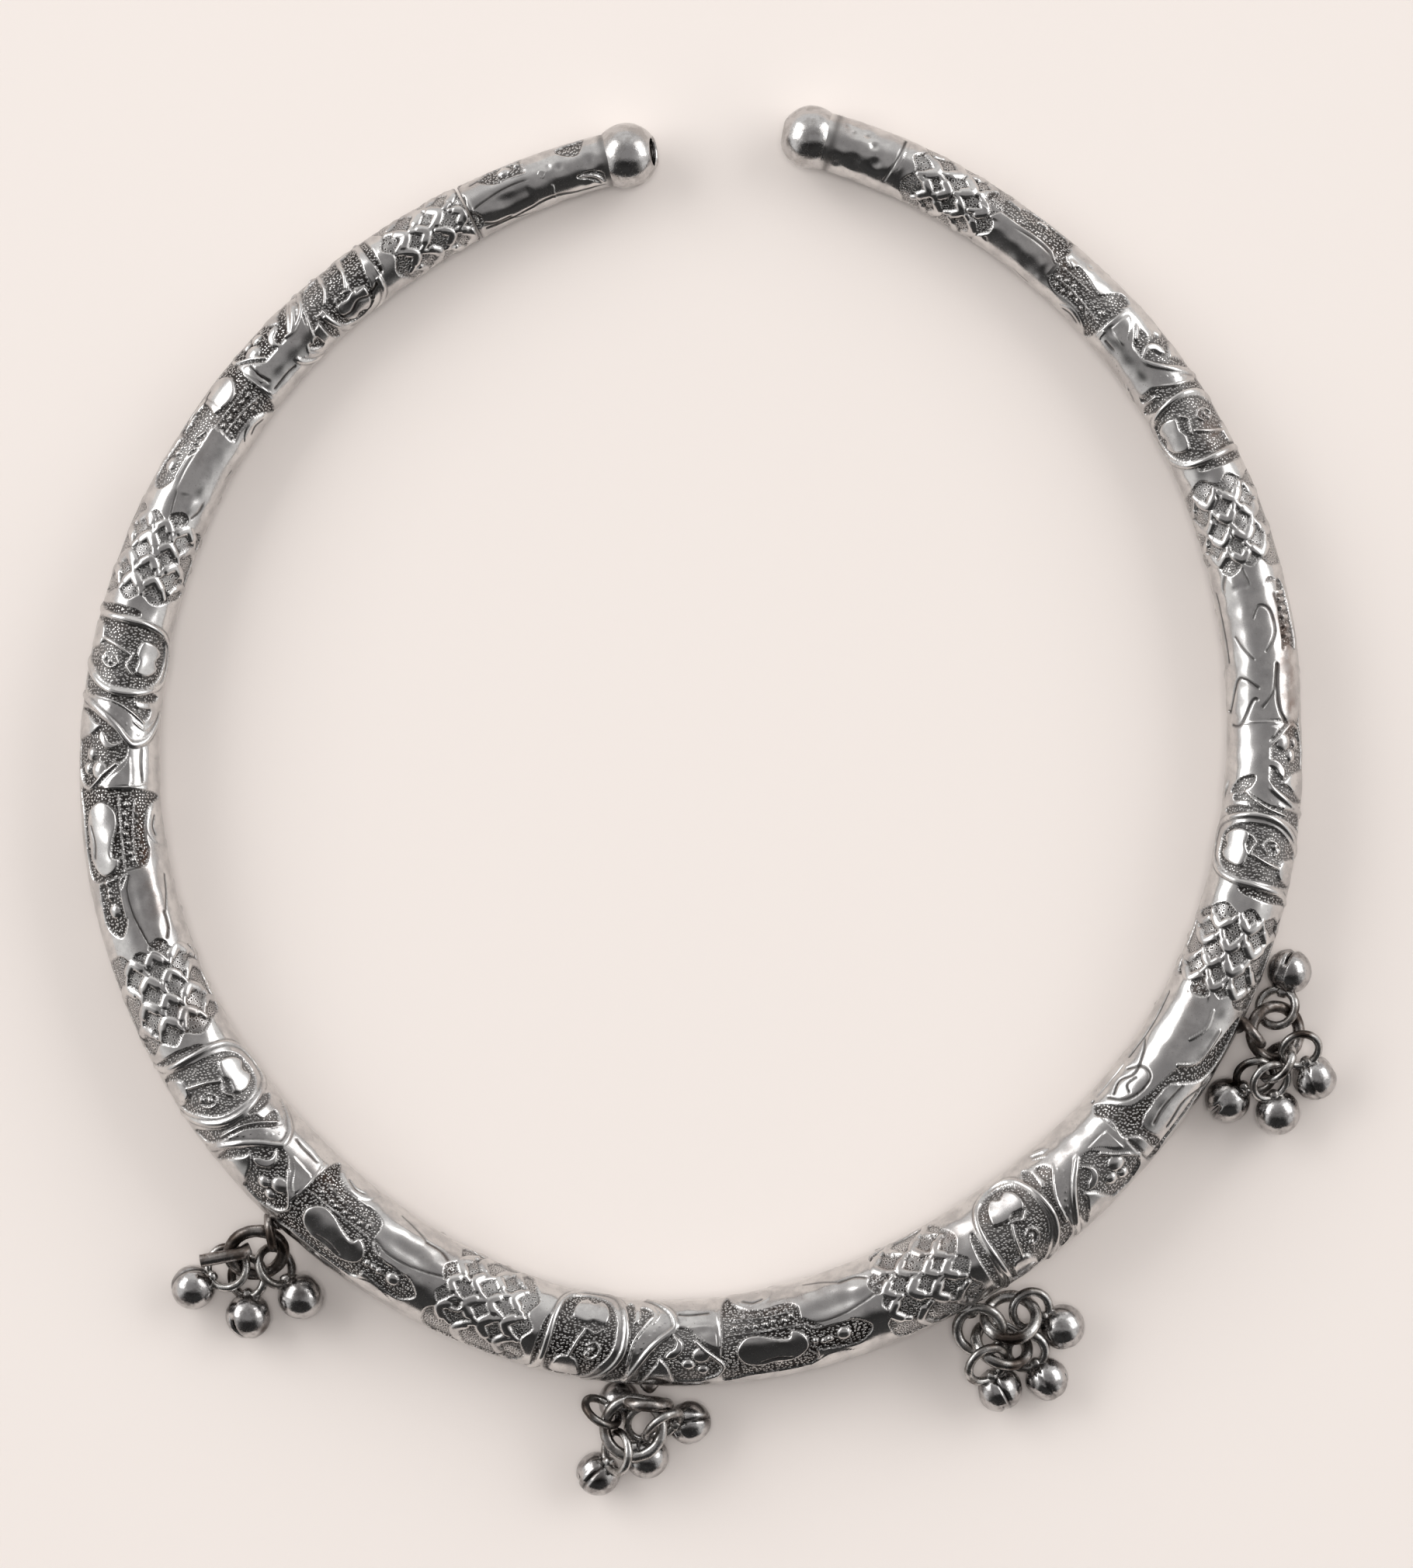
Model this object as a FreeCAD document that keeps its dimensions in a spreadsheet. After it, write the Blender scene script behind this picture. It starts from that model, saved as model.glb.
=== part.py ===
import FreeCAD, Part
import math
import os

# A hasli: a rigid hollow silver collar, open at the back of the neck, with two ball ends and four
# clusters of small hollow bells hung on rings from eyes soldered to its outer edge.
# It lies flat on its side. Millimetres; the origin is the middle of the neck opening on the
# surface that it rests on, +Z is up through the opening and +Y points at the gap between the balls.

V = FreeCAD.Vector

SIZES = {
    "tube_wall": 0.6,
    "relief_height": 0.25,
    "left_ball_radius": 4.0,
    "right_ball_radius": 3.9,
    "ball_wall": 0.6,
    "ball_mouth_depth": 0.55,
    "ball_flat_depth": 0.2,
    "seam_angle": 113.5,
    "seam_gap": 0.3,
    "spigot_radius": 2.45,
    "spigot_length": 6.0,
    "spigot_collar_radius": 3.15,
    "spigot_collar_length": 2.0,
    "bell_wall": 0.45,
    "bell_slit_width": 0.4,
    "bell_loop_sunk": 0.35,
    "tail_radius": 0.78,
    "coil_radius": 0.72,
}

# One row for each section of the tube, in order round the ring: the angle of the section from +X
# (degrees), the reach of its centre from the origin, its half width and the height of its centre.
STATIONS = [
    # angle, reach, half_width, rise
    (97.0, 72.2, 3.20, 4.00),
    (101.5, 71.7, 3.22, 3.95),
    (106.0, 71.2, 3.28, 3.88),
    (111.0, 70.7, 3.42, 3.84),
    (116.0, 70.3, 3.58, 3.88),
    (124.0, 69.9, 3.72, 3.98),
    (134.0, 69.7, 3.85, 4.10),
    (146.0, 69.6, 4.05, 4.30),
    (160.0, 69.9, 4.38, 4.63),
    (175.0, 70.4, 4.80, 5.05),
    (190.0, 71.2, 5.03, 5.28),
    (205.0, 71.9, 5.18, 5.43),
    (218.0, 72.4, 5.52, 5.77),
    (230.0, 72.8, 5.68, 5.93),
    (243.0, 73.4, 5.52, 5.77),
    (256.0, 74.0, 5.24, 5.49),
    (267.0, 73.8, 5.24, 5.49),
    (280.0, 72.7, 5.50, 5.75),
    (293.0, 71.3, 5.68, 5.93),
    (306.0, 70.4, 5.86, 6.11),
    (318.0, 70.0, 5.52, 5.77),
    (332.0, 69.8, 5.18, 5.43),
    (346.0, 69.5, 4.96, 5.21),
    (360.0, 69.4, 4.70, 4.95),
    (374.0, 69.9, 4.48, 4.73),
    (388.0, 70.8, 4.20, 4.45),
    (402.0, 71.9, 3.86, 4.11),
    (416.0, 72.9, 3.62, 3.92),
    (428.0, 74.1, 3.57, 3.88),
    (434.8, 74.8, 3.54, 3.88),
    (439.3, 75.2, 3.52, 3.92),
]

# The ornament repeats along the collar as the die was moved on. These are the places along the
# centre line, from the left ball, where each repeat starts.
REPEATS = [33.9, 86.7, 141.6, 197.5, 253.0, 308.8, 361.8, 416.0]

# The raised forms of one repeat. A cord is a ridge right round the tube; a boss is an oval.
RELIEF = [
    # kind, along, across, length, width, turn
    ("cord", 0.0, 0.0, 0.9, 0.0, 0.0),
    ("cord", 9.8, 0.0, 0.9, 0.0, -8.0),
    ("cord", 12.8, 0.0, 0.9, 0.0, -38.0),
    ("boss", 5.6, -1.9, 4.4, 2.6, 0.0),
    ("boss", 3.9, 2.0, 3.2, 1.5, -70.0),
    ("cord", 20.8, 0.0, 0.7, 0.0, 0.0),
    ("boss", 27.2, 1.8, 8.4, 3.0, 4.0),
    ("boss", 46.5, 1.6, 5.6, 1.5, 32.0),
    ("boss", 46.5, -1.6, 5.6, 1.5, -32.0),
]
RELIEF_END = 421.0

# The clusters of bells. Each eye is soldered to the collar and stays put. A ring or a bell's loop
# holds on to what "hung_on" names. Places are where the photograph shows them, in millimetres from
# the origin; "lean" is the direction that the face of a ring leans to and "tilt" by how much.
EYES = [
    # name, x, y, z, lean, tilt, radius, wire
    ("eye_1", -52.2, -60.1, 5.9, 139.0, 90.0, 1.9, 0.60),
    ("eye_2", -6.2, -81.1, 5.9, 0.0, 90.0, 2.5, 0.80),
    ("eye_3", 34.5, -72.1, 5.7, 300.0, 15.0, 2.8, 0.65),
    ("eye_4", 67.7, -35.6, 5.4, 67.0, 90.0, 1.9, 0.60),
]
RINGS = [
    # name, hung_on, x, y, z, lean, tilt, radius, wire
    ("ring_1", "eye_1", -54.1, -62.4, 5.0, 229.0, 15.0, 3.3, 0.78),
    ("ring_2", "eye_2", -8.5, -83.5, 5.4, 270.0, 12.0, 3.5, 0.72),
    ("ring_3a", "eye_3", 38.3, -70.7, 5.5, 60.0, 40.0, 3.1, 0.75),
    ("ring_3b", "eye_3", 37.0, -73.5, 5.0, 60.0, 30.0, 3.3, 0.72),
    ("ring_4a", "eye_4", 70.8, -35.3, 5.2, 45.0, 10.0, 3.2, 0.75),
    ("ring_4b", "ring_4a", 70.6, -39.2, 4.7, 158.0, 63.0, 2.4, 0.55),
]
BELLS = [
    # name, hung_on, bell_x, bell_y, loop_x, loop_y, twist, loop_radius, loop_wire, bell_radius, slit_turn
    ("bell_1a", "ring_1", -62.2, -67.3, -58.0, -64.6, 40.0, 2.5, 0.52, 2.75, 70.0),
    ("bell_1b", "ring_1", -55.1, -71.0, -54.4, -66.6, 0.0, 2.4, 0.55, 2.80, 15.0),
    ("bell_1c", "ring_1", -49.2, -68.2, -52.2, -65.2, 0.0, 2.4, 0.55, 2.85, 120.0),
    ("bell_2a", "ring_2", -11.3, -90.3, -11.4, -85.8, 50.0, 2.5, 0.52, 2.70, 0.0),
    ("bell_2b", "eye_2", -6.3, -87.8, -6.3, -84.0, -50.0, 2.2, 0.52, 2.70, 90.0),
    ("bell_2c", "ring_2", -0.6, -82.9, -4.0, -83.3, 30.0, 2.5, 0.52, 2.70, 30.0),
    ("bell_2d", "ring_2", -9.6, -82.3, -11.9, -80.9, 0.0, 2.3, 0.52, 2.60, 45.0),
    ("bell_3a", "ring_3b", 37.4, -80.6, 34.9, -77.3, 75.0, 2.5, 0.55, 2.80, 20.0),
    ("bell_3b", "ring_3b", 42.7, -78.1, 40.8, -74.1, 60.0, 2.3, 0.60, 2.65, 100.0),
    ("bell_3c", "ring_3a", 44.1, -71.9, 41.1, -70.7, 30.0, 2.3, 0.55, 2.80, 60.0),
    ("bell_4a", "ring_4a", 72.5, -28.3, 70.4, -32.3, 0.0, 2.3, 0.55, 2.75, 0.0),
    ("bell_4b", "ring_4b", 65.6, -43.4, 69.0, -41.0, -46.0, 2.3, 0.50, 2.80, 35.0),
    ("bell_4c", "ring_4b", 71.0, -45.2, 71.0, -41.3, -20.0, 2.3, 0.50, 2.75, 110.0),
    ("bell_4d", "ring_4b", 75.5, -41.4, 73.5, -39.6, 6.0, 2.3, 0.50, 2.75, 75.0),
]

# How the loose pieces come to rest
CLEARANCE = 0.16
GOOD_ENOUGH = 0.13
SETTLE_ROUNDS = 700
WATCHED_POINTS = 24
SEAT_PULL = 0.03
FACE_PULL = 0.01
FLOOR_GAP = 0.02
SKIN_ALLOWANCE = 0.1

# The open wire end that crosses over ring_1, and the second turn of ring_2, told in each ring's own
# plane: x and y from the ring's centre, parallel to the collar's axes.
TAIL_FROM = (-0.8, 1.2)
TAIL_TO = (-6.9, 0.2)
TAIL_SUNK = 0.2
COIL_TURN_FROM = 250.0
COIL_TURN_BY = 32.0
COIL_STEP_IN = 1.1

# The stamps and the block that holds the end piece reach well past the tube.
STAMP_DEPTH = 16.0
END_BLOCK = 30.0

doc = FreeCAD.newDocument("HasliCollar")
sheet = doc.addObject("Spreadsheet::Sheet", "Sizes")


def fill_sheet():
    """Puts every driving size in a named cell of the sheet."""
    cells = dict(SIZES)
    for number, (angle, reach, half_width, rise) in enumerate(STATIONS, start=1):
        cells[f"angle_{number:02d}"] = angle
        cells[f"reach_{number:02d}"] = reach
        cells[f"half_{number:02d}"] = half_width
        cells[f"rise_{number:02d}"] = rise
    for row, (name, value) in enumerate(cells.items(), start=1):
        sheet.set(f"A{row}", name)
        sheet.set(f"B{row}", str(value))
        sheet.setAlias(f"B{row}", name)
    doc.recompute()


fill_sheet()


def turned(face, arm):
    """A rotation that lays an object's own Z along face and its own X along arm."""
    side = face.cross(arm)
    return FreeCAD.Rotation(arm, side, face, "ZXY")


def add(kind, name, **expressions):
    """Adds an object whose sizes follow cells of the sheet."""
    thing = doc.addObject(kind, name)
    for prop, text in expressions.items():
        thing.setExpression(prop, text)
    return thing


def fixed(kind, name, **values):
    """Adds an object whose sizes are worked out from the tables above."""
    thing = doc.addObject(kind, name)
    for prop, value in values.items():
        setattr(thing, prop, value)
    return thing


def joined(kind, name, shapes):
    """Adds a boolean of two or more objects."""
    thing = doc.addObject(kind, name)
    thing.Shapes = shapes
    return thing


def cut(name, base, tool):
    thing = doc.addObject("Part::Cut", name)
    thing.Base = base
    thing.Tool = tool
    return thing


def outward(angle):
    return V(math.cos(math.radians(angle)), math.sin(math.radians(angle)), 0)


def onward(angle):
    return V(-math.sin(math.radians(angle)), math.cos(math.radians(angle)), 0)


# The tube

def section(name, number, size):
    """One round section of the tube, square to the ring."""
    angle, reach, half_width, rise = STATIONS[number - 1]
    circle = add("Part::Circle", name, Radius=size.format(number=f"{number:02d}"))
    circle.Placement = FreeCAD.Placement(
        outward(angle) * reach + V(0, 0, rise), turned(onward(angle), outward(angle)))
    place = f"Sizes.reach_{number:02d}"
    turn = f"Sizes.angle_{number:02d} * 1 deg"
    circle.setExpression("Placement.Base.x", f"{place} * cos({turn})")
    circle.setExpression("Placement.Base.y", f"{place} * sin({turn})")
    circle.setExpression("Placement.Base.z", f"Sizes.rise_{number:02d}")
    return circle


def tube(name, first, last, size):
    """A solid through the sections first to last."""
    loft = doc.addObject("Part::Loft", name)
    loft.Sections = [section(f"{name}_section_{number:02d}", number, size) for number in range(first, last + 1)]
    loft.Solid = True
    loft.Ruled = False
    return loft


def along_the_ring():
    """The centre line as short steps: distance from the left ball, angle, reach and rise."""
    steps = []
    distance = 0.0
    before = None
    for low, high in zip(STATIONS, STATIONS[1:]):
        count = max(1, round((high[0] - low[0]) / 0.5))
        for step in range(count):
            share = step / count
            angle, reach, half_width, rise = [a + (b - a) * share for a, b in zip(low, high)]
            here = outward(angle) * reach
            if before is not None:
                distance += (here - before).Length
            before = here
            steps.append((distance, angle, reach, half_width, rise))
    return steps


CENTRE_LINE = along_the_ring()


def spot(along, across=0.0):
    """The place and angle of the ring at a distance from the left ball, across to the outside."""
    for near, far in zip(CENTRE_LINE, CENTRE_LINE[1:]):
        if far[0] >= along:
            break
    share = (along - near[0]) / (far[0] - near[0])
    angle, reach, half_width, rise = [a + (b - a) * share for a, b in zip(near[1:], far[1:])]
    return outward(angle) * (reach + across) + V(0, 0, rise), angle, half_width


def cord_stamp(name, along, width, turn):
    """A slab across the tube, which leaves a raised band right round it."""
    place, angle, half_width = spot(along)
    slab = fixed("Part::Box", name, Length=width, Width=STAMP_DEPTH, Height=STAMP_DEPTH)
    rotation = FreeCAD.Rotation(V(0, 0, 1), angle + 90.0 + turn)
    corner = rotation.multVec(V(-width / 2, -STAMP_DEPTH / 2, -STAMP_DEPTH / 2))
    slab.Placement = FreeCAD.Placement(place + corner, rotation)
    return slab


def boss_stamp(name, along, across, length, width, turn):
    """An upright oval prism, which leaves a raised oval on the top and the underside."""
    place, angle, half_width = spot(along, across)
    rotation = FreeCAD.Rotation(V(0, 0, 1), angle + 90.0 + turn)
    oval = fixed("Part::Ellipse", f"{name}_outline", MajorRadius=length / 2, MinorRadius=width / 2)
    oval.Placement = FreeCAD.Placement(place - V(0, 0, STAMP_DEPTH / 2), rotation)
    prism = fixed("Part::Extrusion", name, Base=oval, DirMode="Custom", Dir=V(0, 0, 1),
                  LengthFwd=STAMP_DEPTH, Solid=True)
    return prism


def stamps():
    """Every raised form of every repeat, as upright solids."""
    found = []
    for repeat, start in enumerate(REPEATS, start=1):
        for number, (kind, along, across, length, width, turn) in enumerate(RELIEF, start=1):
            if start + along + length / 2 > RELIEF_END:
                continue
            name = f"{kind}_{repeat}_{number:02d}"
            if kind == "cord":
                found.append(cord_stamp(name, start + along, length, turn))
            else:
                found.append(boss_stamp(name, start + along, across, length, width, turn))
    return found


# The loose pieces

class Link:
    """A wire ring, or a bell on its wire loop: a circle of wire and perhaps a ball on an arm."""

    def __init__(self, name, hung_on, centre, face, arm, radius, wire, ball=0.0, fixed=False):
        self.name = name
        self.hung_on = hung_on
        self.centre = centre
        self.face = face
        self.arm = arm
        self.radius = radius
        self.wire = wire
        self.ball = ball
        self.fixed = fixed
        self.reach = radius + ball - SIZES["bell_loop_sunk"] if ball else 0.0
        self.seat = V(self.ball_centre() if ball else centre)
        self.loop_seat = V(centre)

    def ball_centre(self):
        return self.centre - self.arm * self.reach

    def arms(self, count=WATCHED_POINTS):
        """From the centre to points on the wire."""
        side = self.face.cross(self.arm)
        turns = [2 * math.pi * step / count for step in range(count)]
        return [self.arm * (math.cos(t) * self.radius) + side * (math.sin(t) * self.radius) for t in turns]

    def arm_to(self, point):
        """From the centre to the point of the wire that is nearest to a point."""
        flat = point - self.centre
        flat = flat - self.face * flat.dot(self.face)
        if flat.Length < 1e-6:
            return self.arm * self.radius
        return flat.normalize() * self.radius

    def shove(self, arm, direction, distance):
        """Moves the point at arm by a distance: partly a slide, partly a turn."""
        if self.fixed or distance == 0:
            return
        lever = arm.cross(direction)
        stiffness = self.radius ** 2 + 0.35 * self.reach ** 2
        share = distance / (1 + lever.Length ** 2 / stiffness)
        self.centre = self.centre + direction * share
        self.turn(lever * (share / stiffness))

    def turn(self, spin):
        self.face = (self.face + spin.cross(self.face)).normalize()
        arm = self.arm + spin.cross(self.arm)
        self.arm = (arm - self.face * arm.dot(self.face)).normalize()


def spread(first, first_arm, second, second_arm, needed):
    """Pushes two points of two links apart until they are needed millimetres from each other."""
    between = first.centre + first_arm - second.centre - second_arm
    missing = (needed - between.Length) / 2
    if missing <= 0:
        return
    direction = between.normalize()
    if first.fixed or second.fixed:
        missing *= 2
    first.shove(first_arm, direction, missing / 2)
    second.shove(second_arm, direction * -1, missing / 2)


def clear_wires(one, other):
    """Pushes the wires of two links apart at their closest points, and returns the gap."""
    closest = sorted(
        ((one.centre + arm - other.centre - other.arm_to(one.centre + arm)).Length, number)
        for number, arm in enumerate(one.arms()))
    for distance, number in closest[:3]:
        if distance < one.wire + other.wire + CLEARANCE:
            arm = one.arms()[number]
            spread(one, arm, other, other.arm_to(one.centre + arm), one.wire + other.wire + CLEARANCE)
    return closest[0][0] - one.wire - other.wire


def clear_ball(bell, other):
    """Pushes a bell's ball and another link's wire apart, and returns the gap."""
    arm = bell.arm * -bell.reach
    gap = (bell.ball_centre() - other.centre - other.arm_to(bell.ball_centre())).Length - bell.ball - other.wire
    if gap < CLEARANCE:
        spread(bell, arm, other, other.arm_to(bell.ball_centre()), bell.ball + other.wire + CLEARANCE)
    return gap


def clear_pair(one, other):
    gaps = [clear_wires(one, other), clear_wires(other, one)]
    if one.ball:
        gaps.append(clear_ball(one, other))
    if other.ball:
        gaps.append(clear_ball(other, one))
    if one.ball and other.ball:
        gaps.append((one.ball_centre() - other.ball_centre()).Length - one.ball - other.ball)
        spread(one, one.arm * -one.reach, other, other.arm * -other.reach, one.ball + other.ball + CLEARANCE)
    return min(gaps)


def clear_collar(link, reach, half_width):
    """Lifts a link off the surface below and pushes it off the collar, and returns the gap."""
    gaps = [CLEARANCE]
    points = [(arm, link.wire) for arm in link.arms()[::2]]
    if link.ball:
        points.append((link.arm * -link.reach, link.ball))
    skin = half_width + SIZES["relief_height"] + SKIN_ALLOWANCE
    for arm, thickness in points:
        link.shove(arm, V(0, 0, 1), max(0.0, thickness + FLOOR_GAP - (link.centre + arm).z))
        point = link.centre + arm
        radial = math.hypot(point.x, point.y)
        away = V(point.x, point.y, 0) * ((radial - reach) / radial) + V(0, 0, point.z - skin)
        gap = away.Length - skin - thickness
        gaps.append(gap)
        link.shove(arm, away.normalize(), max(0.0, CLEARANCE - gap) / 2)
    return min(gaps)


def draw_to_seat(link):
    """Draws a link gently towards the place and the view of it in the photograph."""
    arm = link.arm * -link.reach if link.ball else V(0, 0, 0)
    here = link.centre + arm
    if link.ball:
        link.shove(arm, V(0, 0, -1), (here.z - link.ball - FLOOR_GAP) * 0.1)
        back = link.loop_seat - link.centre
        back.z = 0
        if back.Length > 1e-6:
            link.shove(V(0, 0, 0), V(back).normalize(), back.Length * SEAT_PULL / 2)
    back = link.seat - here
    back.z = 0
    if back.Length > 1e-6:
        link.shove(arm, V(back).normalize(), back.Length * SEAT_PULL)
    up = V(0, 0, 1 if link.face.z >= 0 else -1)
    link.turn(link.face.cross(up) * FACE_PULL)


def settle(links, reach, half_width):
    """Lets one cluster come to rest with nothing touching."""
    for step in range(SETTLE_ROUNDS):
        gaps = []
        for number, one in enumerate(links):
            gaps += [clear_pair(one, other) for other in links[number + 1:] if not (one.fixed and other.fixed)]
            if not one.fixed:
                gaps.append(clear_collar(one, reach, half_width))
        if step < SETTLE_ROUNDS * 0.6:
            for link in links:
                if not link.fixed:
                    draw_to_seat(link)
        elif min(gaps) > GOOD_ENOUGH:
            break
    return min(gaps)


def is_linked(one, other):
    """Whether the wire of one link passes through the other."""
    points = [other.centre + arm for arm in other.arms(180)]
    passes = 0
    for here, there in zip(points, points[1:] + points[:1]):
        low = (here - one.centre).dot(one.face)
        high = (there - one.centre).dot(one.face)
        if low * high < 0:
            crossing = here + (there - here) * (low / (low - high))
            if (crossing - one.centre).Length < one.radius:
                passes += 1 if high > low else -1
    return passes != 0


def leaning(lean, tilt):
    """The face of a ring that leans to a direction, and an arm across it."""
    face = outward(lean) * math.sin(math.radians(tilt)) + V(0, 0, math.cos(math.radians(tilt)))
    return face, onward(lean)


def hung_bell(name, hung_on, ball_xy, loop_xy, twist, radius, wire, ball):
    """A bell on the surface below, with its loop rising over the place where it is seen."""
    reach = radius + ball - SIZES["bell_loop_sunk"]
    flat = V(loop_xy[0] - ball_xy[0], loop_xy[1] - ball_xy[1], 0)
    share = min(flat.Length / reach, 0.995)
    arm = V(flat).normalize() * share + V(0, 0, math.sqrt(1 - share ** 2))
    centre = V(ball_xy[0], ball_xy[1], ball + FLOOR_GAP) + arm * reach
    side = arm.cross(V(0, 0, 1)).normalize()
    face = FreeCAD.Rotation(arm, twist).multVec(side)
    return Link(name, hung_on, centre, face, arm, radius, wire, ball)


def clusters():
    """All links, settled one cluster after another."""
    made = {}
    for name, x, y, z, lean, tilt, radius, wire in EYES:
        face, arm = leaning(lean, tilt)
        made[name] = Link(name, None, V(x, y, z), face, arm, radius, wire, fixed=True)
    for name, hung_on, x, y, z, lean, tilt, radius, wire in RINGS:
        face, arm = leaning(lean, tilt)
        made[name] = Link(name, hung_on, V(x, y, z), face, arm, radius, wire)
    for name, hung_on, bx, by, lx, ly, twist, radius, wire, ball, slit_turn in BELLS:
        made[name] = hung_bell(name, hung_on, (bx, by), (lx, ly), twist, radius, wire, ball)
    for number, eye in enumerate(EYES, start=1):
        group = [link for link in made.values() if link.name.split("_")[1].startswith(str(number))]
        angle = math.degrees(math.atan2(eye[2], eye[1])) % 360
        nearest = min(CENTRE_LINE, key=lambda step: abs(step[1] % 360 - angle))
        gap = settle(group, nearest[2], nearest[3])
        print(f"cluster {number}: smallest gap {gap:.2f} mm")
        for place, one in enumerate(group):
            for other in group[place + 1:]:
                if one.fixed and other.fixed:
                    continue
                meant = one.name == other.hung_on or other.name == one.hung_on
                if is_linked(one, other) != meant:
                    print(f"  {one.name} and {other.name}: linked {not meant}, meant {meant}")
    return made


LINKS = clusters()


def wire_circle(link, name):
    ring = fixed("Part::Torus", name, Radius1=link.radius, Radius2=link.wire)
    ring.Placement = FreeCAD.Placement(link.centre, turned(link.face, link.arm))
    return ring


# The collar and its two ends

LEFT = STATIONS[0]
RIGHT = STATIONS[-1]


def ball(name, station, radius):
    sphere = add("Part::Sphere", name, Radius=radius)
    centre = outward(station[0]) * station[1] + V(0, 0, station[3])
    sphere.Placement = FreeCAD.Placement(centre, turned(onward(station[0]), outward(station[0])))
    return sphere


def flat_cut(name, station, towards, radius, depth):
    """A block that takes the free side of a ball off, a little way in."""
    block = fixed("Part::Box", name, Length=4.0, Width=12.0, Height=12.0)
    rotation = turned(V(0, 0, 1), towards)
    face = outward(station[0]) * station[1] + V(0, 0, station[3]) + towards * (radius - depth)
    block.Placement = FreeCAD.Placement(face + rotation.multVec(V(0, -6.0, -6.0)), rotation)
    return block


def collar():
    """The whole hollow collar before it is parted at the seam, and what fills its seam."""
    last = len(STATIONS)
    outside = tube("tube_outside", 1, last, "Sizes.half_{number}")
    crest = tube("tube_crest", 1, last, "Sizes.half_{number} + Sizes.relief_height")
    inside = tube("tube_inside", 2, last - 1, "Sizes.half_{number} - Sizes.tube_wall")
    raised = joined("Part::MultiFuse", "raised_stamps", stamps())
    relief = joined("Part::MultiCommon", "relief", [crest, raised])
    left_ball = ball("left_ball", LEFT, "Sizes.left_ball_radius")
    right_ball = ball("right_ball", RIGHT, "Sizes.right_ball_radius")
    eyes = [wire_circle(LINKS[row[0]], row[0]) for row in EYES]
    whole = joined("Part::MultiFuse", "collar_solid", [outside, relief, left_ball, right_ball] + eyes)
    left_hollow = ball("left_hollow", LEFT, "Sizes.left_ball_radius - Sizes.ball_wall")
    right_hollow = ball("right_hollow", RIGHT, "Sizes.right_ball_radius - Sizes.ball_wall")
    free_left = onward(LEFT[0]) * -1
    free_right = onward(RIGHT[0])
    mouth = fixed("Part::Cylinder", "left_mouth", Radius=1.6, Height=SIZES["left_ball_radius"] + 1.0)
    mouth.Placement = FreeCAD.Placement(left_ball.Placement.Base, turned(free_left, outward(LEFT[0])))
    left_flat = flat_cut("left_flat", LEFT, free_left, SIZES["left_ball_radius"], SIZES["ball_mouth_depth"])
    right_flat = flat_cut("right_flat", RIGHT, free_right, SIZES["right_ball_radius"], SIZES["ball_flat_depth"])
    hollows = joined("Part::MultiFuse", "hollows",
                     [inside, left_hollow, right_hollow, mouth, left_flat, right_flat])
    return cut("collar_hollow", whole, hollows)



def seam_spot():
    """The middle of the tube at the seam."""
    angle = SIZES["seam_angle"]
    for low, high in zip(STATIONS, STATIONS[1:]):
        if high[0] >= angle:
            break
    share = (angle - low[0]) / (high[0] - low[0])
    reach = low[1] + (high[1] - low[1]) * share
    rise = low[3] + (high[3] - low[3]) * share
    return outward(angle) * reach + V(0, 0, rise)


SEAM = seam_spot()
SEAM_ONWARD = onward(SIZES["seam_angle"])
SEAM_OUTWARD = outward(SIZES["seam_angle"])


def seam_block(name, start, length):
    """A block square to the tube, from a distance past the middle of the seam."""
    block = fixed("Part::Box", name, Length=length, Width=END_BLOCK, Height=STAMP_DEPTH)
    rotation = turned(V(0, 0, 1), SEAM_ONWARD)
    corner = rotation.multVec(V(start, -END_BLOCK / 2, -STAMP_DEPTH / 2))
    block.Placement = FreeCAD.Placement(SEAM + corner, rotation)
    return block


def spigot():
    """The plug on the short end piece that is pushed into the tube, with the sleeve that holds it."""
    half = SIZES["seam_gap"] / 2
    plug = add("Part::Cylinder", "spigot_plug", Radius="Sizes.spigot_radius",
               Height="Sizes.spigot_length + Sizes.spigot_collar_length")
    sleeve = add("Part::Cylinder", "spigot_sleeve", Radius="Sizes.spigot_collar_radius",
                 Height="Sizes.spigot_collar_length")
    start = SEAM - SEAM_ONWARD * (SIZES["spigot_collar_length"] + half)
    for piece in (plug, sleeve):
        piece.Placement = FreeCAD.Placement(start, turned(SEAM_ONWARD, SEAM_OUTWARD))
    return joined("Part::MultiFuse", "spigot", [plug, sleeve])


def collar_pieces():
    """The long tube, and the short end piece that is pushed into it."""
    whole = collar()
    half = SIZES["seam_gap"] / 2
    end_side = seam_block("end_side", -END_BLOCK - half, END_BLOCK)
    end_shell = joined("Part::MultiCommon", "end_shell", [whole, end_side])
    end_piece = joined("Part::MultiFuse", "end_section", [end_shell, spigot()])
    tube_piece = cut("collar_tube", whole, seam_block("not_tube_side", -END_BLOCK + half, END_BLOCK))
    return [tube_piece, end_piece]


# Rings and bells

def in_ring(link, x, y, height):
    """A place near a ring, from its middle along the collar's X and Y within the ring's own plane."""
    across = V(1, 0, 0) - link.face * link.face.x
    across.normalize()
    up = link.face.cross(across)
    return link.centre + across * x + up * y + link.face * height


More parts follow.
